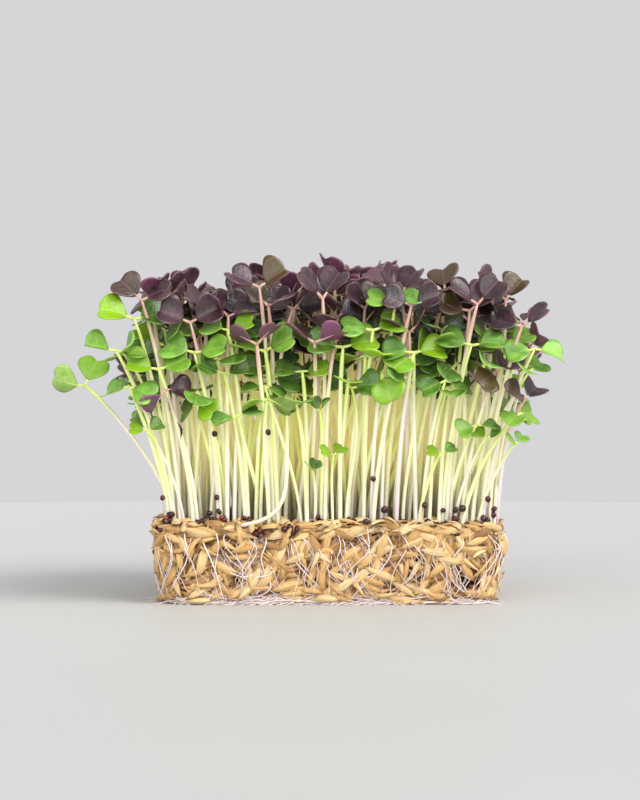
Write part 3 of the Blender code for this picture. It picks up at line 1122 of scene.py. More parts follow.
    def fillers(self, clumps: list[Clump]) -> list[tuple[Sprout, LeafColor]]:
        """Draw the seedlings between the clumps, which the frame leaves out.

        Args:
            clumps: the frame's clumps, which the fillers keep clear of.

        Returns:
            Each filler and the colour of its leaves, those of the front first.
        """
        rng = Random(SEED + 2)
        thicket = Thicket(self.leaf_length, self.leaf_width, self.leaf_fold)
        for clump in clumps:
            for sprout in clump.sprouts:
                thicket.try_take(sprout, is_sure=True)
        found: list[tuple[Sprout, LeafColor]] = []

        def place(draw: Callable[[float], Sprout], color: LeafColor) -> None:
            """Try draws, each wider than the last, until one finds room.

            Args:
                draw: draws a seedling, given how far the draw is widened.
                color: the colour of its leaves.
            """
            for attempt in range(self.filler_tries):
                sprout = draw(attempt / self.filler_tries)
                if thicket.try_take(sprout):
                    found.append((sprout, color))
                    return

        for feature in FEATURES:
            sprout = feature.sprout(self.mat)
            thicket.try_take(sprout, is_sure=True)
            found.append((sprout, feature.color))
        for number in range(self.rim_fillers):
            color = PURPLE if number % 3 == 0 else GREEN
            share = (number + rng.random()) / self.rim_fillers
            place(lambda reach: self.draw_rim(rng, share, color, reach), color)
        for row in range(self.filler_rows):
            for column in range(self.filler_columns):
                x = ((column + 0.5 + rng.uniform(-0.4, 0.4)) / self.filler_columns - 0.5) * self.mat.width
                y = ((row + 0.5 + rng.uniform(-0.4, 0.4)) / self.filler_rows - 0.5) * self.mat.depth
                if not self.mat.holds(x, y, 1.0 * MM):
                    continue
                foot = Vector((x, y, self.mat.height - 1.0 * MM))
                is_rim = not self.mat.holds(x, y, 14.0 * MM)
                color = GREEN if rng.random() < (0.45 if is_rim else 0.3) else PURPLE
                place(lambda reach: self.draw_filler(rng, foot, color, is_rim, reach), color)
        return found

    def draw_filler(
        self, rng: Random, foot: Vector, color: LeafColor, is_rim: bool, reach: float
    ) -> Sprout:
        """Draw one filler, which stands lower than the clumps and turns its leaves more freely.

        Args:
            rng: the seeded draw.
            foot: where it grows.
            color: the colour of its leaves.
            is_rim: whether it grows near the rim, where leaves face outwards, towards the light.
            reach: how far the draw is widened, from 0 to 1.

        Returns:
            The seedling, which may still cross another.
        """
        sprout = self.draw(rng, foot, 0.0, color, 0.7 + reach)
        sprout.head.z -= rng.uniform(0.0, 7.0) * MM
        sprout.is_inner = not is_rim
        if rng.random() < 0.55:
            sprout.head.x += rng.uniform(-16.0, 16.0) * MM
        if color is GREEN and rng.random() < 0.3:
            sprout.head.z += rng.uniform(4.0, 14.0) * MM
        self.keep_inside(sprout)
        sprout.bow *= rng.uniform(0.8, 2.6)
        sprout.size *= rng.uniform(0.68, 1.02)
        most = math.radians(42)
        sprout.rolls = (rng.uniform(-most, most), rng.uniform(-most, most))
        if is_rim and rng.random() < 0.6:
            self.face_out(rng, sprout)
        return sprout

    def draw_rim(self, rng: Random, share: float, color: LeafColor, reach: float) -> Sprout:
        """Draw one of the low seedlings that close the canopy along the rim.

        Args:
            rng: the seeded draw.
            share: how far round the rim it grows.
            color: the colour of its leaves.
            reach: how far the draw is widened, from 0 to 1.

        Returns:
            The seedling, which may still cross another.
        """
        point, out = self.mat.outline(share, rng.uniform(1.2, 6.5) * MM, self.mat.height)
        foot = Vector((point.x, point.y, self.mat.height - 1.0 * MM))
        sprout = self.draw(rng, foot, 0.0, color, 0.7)
        low, high = (60.0, 76.0) if color is GREEN else (72.0, 86.0)
        aside = out.cross(UP) * rng.uniform(-1.0, 1.0) * (4.0 + 8.0 * reach) * MM
        sprout.head = foot + out * rng.uniform(0.0, 8.0) * MM + aside
        sprout.head.z = rng.uniform(low - 8.0 * reach, high) * MM
        self.keep_inside(sprout)
        sprout.bow *= rng.uniform(0.8, 2.4)
        self.face_out(rng, sprout)
        return sprout

    def keep_inside(self, sprout: Sprout) -> None:
        """Bring a seedling's head back over the block, the more so the lower it stands.

        Args:
            sprout: the seedling, which is changed.
        """
        rise = min(1.0, (sprout.head.z - self.mat.height) / (60.0 * MM))
        limit = self.low_half_width + (self.half_width - self.low_half_width) * rise
        sprout.head.x = max(-limit, min(limit, sprout.head.x))
        sprout.head.y = max(-self.filler_half_depth, min(self.filler_half_depth, sprout.head.y))

    def face_out(self, rng: Random, sprout: Sprout) -> None:
        """Turn a seedling's leaves so that their faces look out of the block.

        Args:
            rng: the seeded draw.
            sprout: the seedling, which is changed.
        """
        out = Vector(((sprout.head.x / self.half_width) ** 3, (sprout.head.y / self.half_depth) ** 3))
        yaw = math.atan2(out.y, out.x) + math.pi / 2 + rng.uniform(-0.7, 0.7)
        sprout.yaws = (yaw, yaw + math.pi + rng.uniform(-0.25, 0.25))
        sprout.rolls = (math.radians(rng.uniform(15, 68)), -math.radians(rng.uniform(15, 68)))


FEATURES = (
    # The large pairs that show at the front of the canopy
    Feature(GREEN, (4.0, 70.5), 0.10, (52, -48), (12, 6), 1.08),
    Feature(GREEN, (-17.0, 69.5), -0.35, (60, -30), (25, 10), 1.05),
    Feature(GREEN, (14.5, 63.5), -1.2, (30, -62), (-52, 5), 1.0),
    Feature(GREEN, (31.5, 61.5), 0.25, (40, -44), (-14, -24), 0.9),
    Feature(PURPLE, (45.0, 64.0), 0.9, (46, -58), (30, -30), 0.92),
    Feature(PURPLE, (-37.0, 77.0), 0.15, (66, -62), (26, 22), 1.02),
    Feature(GREEN, (-52.0, 78.0), 0.4, (48, -50), (10, 20), 1.1),
    Feature(GREEN, (-36.0, 69.0), -0.2, (40, -56), (8, 14), 1.05),
    Feature(GREEN, (-57.0, 69.5), 0.2, (34, -36), (-4, 12), 0.95),
    Feature(GREEN, (12.0, 75.0), 0.3, (44, -40), (16, 8), 1.0),
    Feature(GREEN, (55.5, 70.0), 0.2, (40, -44), (-8, -14), 0.95),
    Feature(GREEN, (-45.5, 64.5), 0.2, (46, -52), (14, 10), 0.98, -42.0),
    Feature(GREEN, (-27.0, 75.0), -0.15, (44, -46), (18, 14), 0.86, -40.0),
    Feature(GREEN, (-28.0, 63.5), 0.3, (40, -50), (4, 16), 0.86, -40.5, tone=0.1),
    Feature(GREEN, (23.0, 69.0), 0.1, (50, -46), (10, 4), 0.98, -41.5),
    Feature(GREEN, (38.5, 71.0), -0.2, (36, -40), (8, 12), 1.0, -41.0),
    Feature(GREEN, (-7.0, 64.0), -0.1, (42, -38), (2, -4), 0.82, -39.5, tone=0.15),
    Feature(GREEN, (18.0, 82.0), 0.2, (34, -40), (22, 18), 0.9, -39.0),
    # Purple pairs that stand up over the others
    Feature(PURPLE, (-18.5, 86.5), 0.1, (48, -40), (34, 26), 1.0),
    Feature(PURPLE, (-1.5, 83.5), 0.5, (30, -46), (54, 50), 1.08),
    Feature(PURPLE, (-50.0, 83.0), -0.3, (44, -50), (24, 40), 1.0),
    Feature(PURPLE, (40.0, 82.0), 0.2, (50, -34), (46, 34), 1.05),
    Feature(PURPLE, (52.0, 76.0), -0.4, (36, -44), (40, 12), 0.98),
    # Small late seedlings low among the stems
    Feature(PURPLE, (-44.0, 59.0), 0.1, (58, 20), (4, -60), 0.85),
    Feature(GREEN, (-48.5, 48.0), 0.3, (50, -40), (30, 10), 0.55),
    Feature(GREEN, (-2.2, 53.0), -0.4, (24, -20), (58, 50), 0.5, tone=0.0),
    Feature(GREEN, (1.5, 41.5), 0.7, (30, -46), (34, 22), 0.5, tone=0.3),
    Feature(GREEN, (-4.3, 37.0), 1.2, (40, -40), (50, 40), 0.42, tone=0.0),
    Feature(GREEN, (30.5, 42.0), 0.2, (38, -42), (24, 12), 0.48, tone=0.45),
    Feature(GREEN, (42.5, 46.0), -0.5, (44, -36), (28, 24), 0.52, tone=0.1),
    Feature(GREEN, (50.5, 44.5), 1.0, (36, -50), (32, 26), 0.5),
)


# Small meshes that are copied into the pieces

STEM_TOP = (0.97, 0.5)


class Stamp:
    """A small mesh made once, whose copies make up larger pieces."""

    def __init__(self, name: str, bm: BMesh) -> None:
        """Finish the bmesh as a smooth mesh.

        Args:
            name: the mesh's name.
            bm: its shape, which is used up.
        """
        bmesh.ops.recalc_face_normals(bm, faces=bm.faces)
        for face in bm.faces:
            face.smooth = True
        self.mesh = bpy.data.meshes.new(name)
        bm.to_mesh(self.mesh)
        bm.free()

    @staticmethod
    def begin() -> BMesh:
        """Start a bmesh with the layers that every piece has.

        Returns:
            The empty bmesh.
        """
        bm = bmesh.new()
        bm.loops.layers.uv.new(UV_NAME)
        bm.verts.layers.float.new(TONE_NAME)
        bm.verts.layers.float.new(UNDER_NAME)
        return bm

    @staticmethod
    def unwrap(bm: BMesh, flatten: Callable[[Vector], tuple[float, float]]) -> None:
        """Set where each point lies along and across the surface.

        Args:
            bm: the shape, all of which is unwrapped.
            flatten: works out the two values from a vertex's place.
        """
        layer = bm.loops.layers.uv[UV_NAME]
        for face in bm.faces:
            for loop in face.loops:
                loop[layer].uv = flatten(loop.vert.co)

    @staticmethod
    def thicken(bm: BMesh, thickness: float) -> None:
        """Turn an open sheet into a thin shell, and mark its underside.

        Args:
            bm: the sheet.
            thickness: how far its underside lies below it.
        """
        under = bm.verts.layers.float[UNDER_NAME]
        grown = bmesh.ops.extrude_face_region(bm, geom=bm.faces[:])["geom"]
        for vert in (item for item in grown if isinstance(item, bmesh.types.BMVert)):
            vert.co.z -= thickness
            vert[under] = 1.0

    def put(
        self, bm: BMesh, tone: float, slot: int = 0, matrix: Matrix | None = None
    ) -> list[bmesh.types.BMVert]:
        """Copy the mesh into a larger one.

        Args:
            bm: the larger mesh.
            tone: the value that varies the copy's colour, from 0 to 1.
            slot: the number of the material slot that it takes.
            matrix: where it goes.

        Returns:
            The new vertices.
        """
        first_vert, first_face = len(bm.verts), len(bm.faces)
        bm.from_mesh(self.mesh)
        bm.verts.ensure_lookup_table()
        bm.faces.ensure_lookup_table()
        verts = bm.verts[first_vert:]
        layer = bm.verts.layers.float[TONE_NAME]
        for vert in verts:
            vert[layer] = tone
        for face in bm.faces[first_face:]:
            face.material_index += slot
        if matrix is not None:
            bmesh.ops.transform(bm, matrix=matrix, verts=verts)
        return verts


@dataclass(frozen=True)
class LeafShape:
    """The form of one seed leaf: a round heart with a notch at its tip, on a short stalk."""

    fold: float
    cup: float
    bend: float
    ruffle: float
    phase: float
    notch: float
    skew: float
    taper: float
    length: float = 9.3 * MM
    width: float = 9.0 * MM
    stalk: float = 1.9 * MM
    thickness: float = 0.34 * MM
    midrib_share: float = 0.5
    midrib_drop: float = 0.3 * MM
    cells: int = 8

    def surface(self, along: float, across: float) -> Vector:
        """Place of a point of the blade.

        Args:
            along: -1 at the stalk to 1 at the tip, inside the unit circle.
            across: -1 to 1 from edge to edge, inside the unit circle.

        Returns:
            The point in the leaf's own frame.
        """
        tip = max(0.0, along)
        base = max(0.0, -along)
        slim = 1.02 + 0.16 * tip - self.taper * base**1.4
        y = across * self.width / 2 * slim * (1.0 + self.skew * across)
        drawn_in = self.notch * math.exp(-((across / 0.3) ** 2)) * tip**2
        x = self.stalk + (self.length - self.stalk) * (1.0 + along * (1.0 - drawn_in)) / 2
        crease = self.fold * (math.hypot(y, 0.8 * MM) - 0.8 * MM)
        rim = (along**2 + across**2) ** 2
        wave = self.ruffle * rim * math.sin(2.6 * math.atan2(across, along) + self.phase) * MM
        z = crease + self.cup * y * y / MM + self.bend * (x - self.stalk) ** 2 / MM + wave
        return Vector((x, y, z))

    def stamp(self, name: str) -> Stamp:
        """Build the leaf: its blade with a face and an underside, and its stalk and midrib.

        Args:
            name: the stamp's name.

        Returns:
            The stamp.
        """
        bm = Stamp.begin()
        bmesh.ops.create_grid(bm, x_segments=self.cells, y_segments=self.cells, size=1.0)
        for vert in bm.verts:
            x, y, _ = vert.co
            vert.co = (x * math.sqrt(1 - y * y / 2), y * math.sqrt(1 - x * x / 2), 0.0)
        Stamp.unwrap(bm, square_share)
        for vert in bm.verts:
            vert.co = self.surface(vert.co.x, vert.co.y)
        Stamp.thicken(bm, self.thickness)
        self._add_stalk(bm)
        return Stamp(name, bm)

    def _add_stalk(self, bm: BMesh) -> None:
        """Add the stalk in the stem's finish, which runs on under the blade as its midrib.

        Args:
            bm: the leaf's shape.
        """
        reach = self.stalk + self.midrib_share * (self.length - self.stalk)
        first, first_edge, first_face = len(bm.verts), len(bm.edges), len(bm.faces)
        bmesh.ops.create_cone(
            bm, cap_ends=True, segments=6, radius1=0.44 * MM, radius2=0.08 * MM, depth=reach,
            matrix=Matrix.Translation((reach / 2, 0.0, 0.0)) @ Matrix.Rotation(math.pi / 2, 4, "Y"),
        )
        bm.edges.ensure_lookup_table()
        edges = bm.edges[first_edge:]
        sides = [edge for edge in edges if abs(edge.verts[0].co.x - edge.verts[1].co.x) > reach / 2]
        bmesh.ops.subdivide_edges(bm, edges=sides, cuts=4, use_grid_fill=True)
        bm.verts.ensure_lookup_table()
        under = bm.verts.layers.float[UNDER_NAME]
        for vert in bm.verts[first:]:
            run = max(0.0, vert.co.x - self.stalk)
            vert.co.z += self.bend * run**2 / MM - self.midrib_drop
            vert[under] = 1.0
        bm.faces.ensure_lookup_table()
        uv = bm.loops.layers.uv[UV_NAME]
        for face in bm.faces[first_face:]:
            face.material_index = 1
            for loop in face.loops:
                loop[uv].uv = STEM_TOP


class StemStamp(Stamp):
    """A straight tube of unit height that is bent along each stem or root."""

    tip_share = 0.6

    def __init__(self, name: str, sides: int, rings: int) -> None:
        """Build the tube with a ring for each bend.

        Args:
            name: the stamp's name.
            sides: how many sides the tube has.
            rings: how many rings of faces it has.
        """
        bm = Stamp.begin()
        bmesh.ops.create_cone(
            bm, cap_ends=True, segments=sides, radius1=1.0, radius2=1.0, depth=1.0,
            matrix=Matrix.Translation((0.0, 0.0, 0.5)),
        )
        upright = [e for e in bm.edges if abs(e.verts[0].co.z - e.verts[1].co.z) > 0.5]
        bmesh.ops.subdivide_edges(bm, edges=upright, cuts=rings - 1, use_grid_fill=True)
        Stamp.unwrap(bm, lambda place: (place.z, turn_share(place.y, place.x)))
        self.rings = rings
        super().__init__(name, bm)

    def bend(
        self, bm: BMesh, path: list[Vector], radii: tuple[float, float], tone: float, slot: int = 0
    ) -> None:
        """Copy the tube along a path.

        Args:
            bm: the larger mesh.
            path: one more point than the tube has rings of faces.
            radii: its radius at the path's start and end.
            tone: the value that varies the copy's colour.
            slot: the number of the material slot that it takes.
        """
        neighbours = zip(path[:1] + path[:-1], path[1:] + path[-1:])
        frames = [(ahead - behind).to_track_quat("Z", "Y") for behind, ahead in neighbours]
        for vert in self.put(bm, tone, slot):
            ring = round(vert.co.z * self.rings)
            end = self.tip_share if ring == self.rings else 1.0
            radius = (radii[0] + (radii[1] - radii[0]) * (ring / self.rings)) * end
            vert.co = path[ring] + frames[ring] @ Vector((vert.co.x * radius, vert.co.y * radius, 0.0))


@dataclass(frozen=True)
class HuskShape:
    """The form of one husk: a boat that comes to a point at both ends, bent along its length."""

    length: float
    width: float
    thickness: float
    bend: float
    keel: float
    sweep: float
    rings: int = 8

    def stamp(self, name: str) -> Stamp:
        """Build the husk from a sphere with its poles at the tips.

        Args:
            name: the stamp's name.

        Returns:
            The stamp.
        """
        bm = Stamp.begin()
        under = bm.verts.layers.float[UNDER_NAME]
        upright = Matrix.Rotation(math.pi / 2, 4, "Y")
        bmesh.ops.create_uvsphere(bm, u_segments=6, v_segments=self.rings, radius=1.0, matrix=upright)
        Stamp.unwrap(bm, lambda place: ((place.x + 1) / 2, turn_share(place.z, place.y)))
        for vert in bm.verts:
            run, across, up = vert.co
            slim = 1.0 - 0.84 * abs(run) ** 1.4 * (1.1 if run > 0.0 else 0.85)
            vert[under] = 1.0 if up < -0.2 else 0.0
            rise = up * (1.0 if up > 0.0 else 0.3) * (1.0 + self.keel * (1.0 - abs(across)))
            hollow = 0.35 * (1.0 - run * run) * (1.0 - across * across) if up < 0.0 else 0.0
            vert.co = (
                run * self.length / 2,
                across * self.width / 2 * slim + self.sweep * (1.0 - run * run),
                (rise + hollow) * self.thickness / 2 * slim + self.bend * (1.0 - run * run),
            )
        return Stamp(name, bm)


@dataclass(frozen=True)
class HullShape:
    """The form of an open hull: a thin shell, curved across, with its pointed ends drawn together."""

    length: float
    width: float
    depth: float
    bend: float
    sweep: float
    thickness: float = 0.22 * MM
    cells: int = 6

    def stamp(self, name: str) -> Stamp:
        """Build the shell from a grid drawn in to a point at both ends.

        Args:
            name: the stamp's name.

        Returns:
            The stamp.
        """
        bm = Stamp.begin()
        bmesh.ops.create_grid(bm, x_segments=self.cells, y_segments=self.cells - 2, size=1.0)
        Stamp.unwrap(bm, square_share)
        for vert in bm.verts:
            run, across, _ = vert.co
            slim = max(0.0, 1.0 - run * run) ** (1.0 if run > 0.0 else 0.75) + 0.02
            vert.co = (
                run * self.length / 2,
                across * self.width / 2 * slim + self.sweep * (1.0 - run * run),
                self.depth * slim * (1.0 - across * across) + self.bend * (1.0 - run * run),
            )
        Stamp.thicken(bm, self.thickness)
        return Stamp(name, bm)


# The pieces


def add_object(name: str, data: bpy.types.ID) -> bpy.types.Object:
    """Make an object of some data and put it in the scene.

    Args:
        name: the object's name.
        data: its mesh, light or camera.

    Returns:
        The object.
    """
    made = bpy.data.objects.new(name, data)
    bpy.context.scene.collection.objects.link(made)
    return made


def add_mesh(name: str, bm: BMesh, materials: list[bpy.types.Material]) -> bpy.types.Object:
    """Turn a bmesh into an object.

    Args:
        name: the object's name.
        bm: its shape, which is used up.
        materials: one for each slot number that the shape uses.

    Returns:
        The object.
    """
    mesh = bpy.data.meshes.new(name)
    bm.to_mesh(mesh)
    bm.free()
    for material in materials:
        mesh.materials.append(material)
    return add_object(name, mesh)


def add_piece(
    bm: BMesh, name: str, materials: list[bpy.types.Material]
) -> bpy.types.Object:
    """Make a piece of the block, which rides on the block's one body.

    Args:
        bm: the piece's shape, which is used up.
        name: the piece's name.
        materials: one for each slot number that the shape uses.

    Returns:
        The piece.
    """
    piece = add_mesh(name, bm, materials)
    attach(piece, ROOT_BODY)
    log.info("%s: %d faces", name, len(piece.data.polygons))
    return piece


@dataclass
class SproutMaker:
    """Builds seedlings from the leaf, stem and seed stamps."""

    finishes: Finishes
    shapes: int = 9
    stem_steps: int = 11
    foot_radius: float = 0.62 * MM
    top_radius: float = 0.52 * MM
    seeds_in_clump: int = 3
    per_piece: int = 24

    def __post_init__(self) -> None:
        """Make the stamps."""
        rng = Random(SEED + 3)
        self.leaves = [self._leaf(rng, number, 8) for number in range(self.shapes)]
        self.inner_leaves = [self._leaf(rng, number, 6) for number in range(self.shapes)]
        self.tube = StemStamp("stem_tube", 6, self.stem_steps)
        self.seed = SeedCoats.stamp("seed_stamp", rng)

    @staticmethod
    def _leaf(rng: Random, number: int, cells: int) -> Stamp:
        """Draw one leaf shape and make its stamp.

        Args:
            rng: the seeded draw.
            number: the shape's number.
            cells: how many cells its blade has along and across.

        Returns:
            The stamp.
        """
        shape = LeafShape(
            fold=rng.uniform(0.1, 0.52),
            cup=rng.uniform(-0.02, 0.05),
            bend=rng.uniform(-0.06, 0.035),
            ruffle=rng.uniform(0.0, 0.5),
            phase=rng.uniform(0.0, 6.0),
            notch=rng.uniform(0.2, 0.42),
            skew=rng.uniform(-0.07, 0.07),
            taper=rng.uniform(0.42, 0.7),
            cells=cells,
        )
        return shape.stamp(f"leaf_{number}_{cells}")

    def add(
        self, bm: BMesh, rng: Random, sprout: Sprout, path: list[Vector] | None = None
    ) -> None:
        """Add one seedling: slot 0 is its leaf, 1 its stem.

        Args:
            bm: the piece's shape.
            rng: the seeded draw of its tones and leaf shapes.
            sprout: where it stands.
            path: its stem's points, if they aren't the sprout's own.
        """
        girth = rng.uniform(0.86, 1.12) * min(1.0, 0.55 + 0.5 * sprout.size)
        radii = (self.foot_radius * girth, self.top_radius * girth)
        path = path or sprout.path(self.stem_steps)
        path[-1].z -= 0.6 * MM
        self.tube.bend(bm, path, radii, rng.random(), 1)
        tone = rng.random() if sprout.tone is None else sprout.tone
        for side in (0, 1):
            leaf = rng.choice(self.inner_leaves if sprout.is_inner else self.leaves)
            leaf_tone = max(0.0, min(1.0, tone + rng.uniform(-0.2, 0.2)))
            leaf.put(bm, leaf_tone, 0, sprout.leaf_frame(side))

    def build_clump(self, clump: Clump, node: str) -> None:
        """Build the fine form of one of the frame's clumps, which it stands in for.

        Args:
            clump: the clump.
            node: its name in the frame.
        """
        rng = Random(f"{SEED}-{node}")
        bm = Stamp.begin()
        for sprout in clump.sprouts:
            self.add(bm, rng, sprout)
        for _ in range(self.seeds_in_clump):
            angle = rng.uniform(0.0, 2 * math.pi)
            offset = heading(angle) * rng.uniform(0.3, 1.0) * MM
            lift = UP * (rng.uniform(0.1, 1.3) * MM)
            turn = Matrix.Rotation(rng.uniform(0.0, 6.0), 4, "X")
            size = Matrix.Scale(rng.uniform(0.75, 1.0), 4)
            place = Matrix.Translation(clump.foot + offset + lift) @ turn @ size
            self.seed.put(bm, rng.random(), 2, place)
        materials = [self.finishes.leaf[clump.color], self.finishes.stem[clump.color], self.finishes.seed]
        piece = add_piece(bm, f"fine_{node}", materials)
        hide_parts(node)

    def build_bent(self, mat: MatSize) -> None:
        """Build the seedling whose stem first runs along the front rim and then turns up.

        Args:
            mat: the mat that it lies on.
        """
        rng = Random(SEED + 10)
        front = -mat.depth / 2
        points = [
            Vector((x * MM, front + y * MM, z * MM))
            for x, y, z in ((-29.0, 1.4, 20.8), (-5.0, -4.2, 22.5), (-13.0, -3.0, 32.0), (-10.5, 0.0, 58.5))
        ]
        angles = ((0.3, 3.3), (0.3, 0.1), (0.8, -0.7))
        sprout = Sprout(points[0], points[-1], Vector(), *angles, 0.8, 0.2)
        bm = Stamp.begin()
        self.add(bm, rng, sprout, interpolate_bezier(*points, self.stem_steps + 1))
        materials = [self.finishes.leaf[GREEN], self.finishes.stem[GREEN]]
        add_piece(bm, "bent_sprout", materials)

    def build_clumps(self, clumps: list[Clump]) -> None:
        """Build every clump under the name that the frame gives it.

        Args:
            clumps: the clumps, in the frame's order.
        """
        counts = {color: 0 for color in LeafColor}
        for clump in clumps:
            node = f"{clump.color.value}_sprouts_{counts[clump.color]:02d}"
            counts[clump.color] += 1
            self.build_clump(clump, node)

    def build_fillers(self, fillers: list[tuple[Sprout, LeafColor]]) -> None:
        """Build the seedlings between the clumps, some to a piece.

        Args:
            fillers: each seedling and the colour of its leaves.
        """
        for color in LeafColor:
            sprouts = [sprout for sprout, own in fillers if own is color]
            for number, start in enumerate(range(0, len(sprouts), self.per_piece)):
                rng = Random(f"{SEED}-filler-{color.value}-{number}")
                bm = Stamp.begin()
                for sprout in sprouts[start : start + self.per_piece]:
                    self.add(bm, rng, sprout)
                materials = [self.finishes.leaf[color], self.finishes.stem[color]]
                add_piece(bm, f"more_{color.value}_sprouts_{number}", materials)


@dataclass
class SeedCoats:
    """The split seed coats that lie among the stems, in clusters along the rim and singly inside."""

    mat: MatSize
    finishes: Finishes
    scattered: int = 240
    shred: tuple[float, float] = (-36.0, 47.5)
    clusters: tuple[tuple[float, int, int], ...] = (
        (-44.0, 5, 5), (-32.0, 5, 5), (-28.0, 2, 0), (-20.5, 4, 0), (-1.5, 2, 0), (10.0, 3, 1), (20.0, 2, 1),
        (31.5, 5, 3), (38.5, 3, 1), (44.5, 5, 2),
    )
    spilled: tuple[tuple[float, float], ...] = (
        (-12.4, 20.6), (-10.9, 21.2), (-10.2, 19.6), (-11.4, 18.6), (-9.2, 20.7), (31.5, 19.6), (33.0, 19.2),
        (-46.5, 20.0), (-20.2, 19.4), (-19.0, 20.2),
    )
    on_stems: tuple[tuple[float, float], ...] = (
        (-34.3, 43.5), (-19.2, 43.8), (46.0, 27.5), (-42.5, 28.5), (-31.8, 29.5), (12.0, 31.0), (24.0, 27.0),
    )

    @staticmethod
    def stamp(name: str, rng: Random) -> Stamp:
        """Make a round coat with a few dents.

        Args:
            name: the stamp's name.
            rng: the seeded draw.

        Returns:
            The stamp.
        """
        bm = Stamp.begin()
        bmesh.ops.create_icosphere(bm, subdivisions=2, radius=1.08 * MM)
        for vert in bm.verts:
            vert.co *= rng.uniform(0.88, 1.04)
        return Stamp(name, bm)

    def _put(self, bm: BMesh, rng: Random, place: Vector) -> None:
        """Add one coat, turned at random.

        Args:
            bm: the coats' shape.
            rng: the seeded draw.
            place: where the coat lies.
        """
        turn = Matrix.Rotation(rng.uniform(0.0, 6.0), 4, "X")
        turn @= Matrix.Rotation(rng.uniform(0.0, 6.0), 4, "Y")
        sizes = [rng.uniform(0.66, 1.06) for _ in range(3)]
        matrix = Matrix.Translation(place) @ turn @ Matrix.Diagonal((*sizes, 1.0))
        rng.choice(self.stamps).put(bm, rng.random(), matrix=matrix)

    def _hang(self, bm: BMesh, rng: Random, points: list[Vector], target: Vector) -> None:
        """Add a coat that sticks to a stem near a target.

        Args:
            bm: the coats' shape.
            rng: the seeded draw.
            points: points on the stems.
            target: about where the coat hangs.
        """
        near = sorted(points, key=lambda point: (point - target).length)[:10]
        angle = rng.uniform(-2.7, -0.4)
        self._put(bm, rng, rng.choice(near) + heading(angle) * 1.25 * MM)

    def build(self, sprouts: list[Sprout]) -> None:
        """Place the coats over the mat, and some on stems at the front.

        Args:
            sprouts: every seedling, whose stems the hanging coats are held by.
        """
        rng = Random(SEED + 4)
        self.stamps = [self.stamp(f"seed_{number}", rng) for number in range(4)]
        bm = Stamp.begin()
        mat = self.mat
        front = -mat.depth / 2
        on_stem = [point for sprout in sprouts for point in sprout.path(30) if point.y < front + 9.0 * MM]
        for x, count, piled in self.clusters:
            for _ in range(count):
                share = mat.front_share((x + rng.gauss(0.0, 1.3)) * MM)
                inset = rng.uniform(0.3, 2.6) * MM
                self._put(bm, rng, mat.at(share, inset, mat.height, rng.uniform(0.9, 3.0) * MM))
            for _ in range(piled):
                aside = rng.gauss(0.0, 1.4)
                target = Vector(((x + aside) * MM, front + 1.0 * MM, rng.uniform(22.2, 25.2) * MM))
                self._hang(bm, rng, on_stem, target)
        for x, z in self.spilled:
            self._put(bm, rng, mat.at(mat.front_share(x * MM), -1.2 * MM, z * MM))
        for x, z in self.on_stems:
            self._hang(bm, rng, on_stem, Vector((x * MM, front - 1.5 * MM, z * MM)))
        self._add_shred(bm, on_stem)
        for number in range(self.scattered):
            if number % 2:
                point, _ = mat.outline(rng.random(), rng.uniform(0.8, 4.0) * MM, mat.height)
            else:
                point = mat.draw_inside(rng, 0.46, 0.46)
            self._put(bm, rng, point + UP * (mat.height + rng.uniform(0.8, 2.4) * MM))
        add_piece(bm, "seed_coats", [self.finishes.seed])

    def _add_shred(self, bm: BMesh, points: list[Vector]) -> None:
        """Add the dry shred that sticks to a stem at the front.

        Args:
            bm: the coats' shape.
            points: points on the stems.
        """
        stamp = HuskShape(5.0 * MM, 1.7 * MM, 1.3 * MM, 0.6 * MM, 0.2, 0.5 * MM).stamp("shred")
        x, z = self.shred
        place = Vector((x * MM, -self.mat.depth / 2 - 3.0 * MM, z * MM))
        near = min(points, key=lambda point: (point - place).length)
        matrix = Matrix.Translation(near + Vector((-0.4, -1.1, 0.0)) * MM) @ Matrix.Rotation(1.4, 4, "Y")
        stamp.put(bm, 0.1, matrix=matrix)


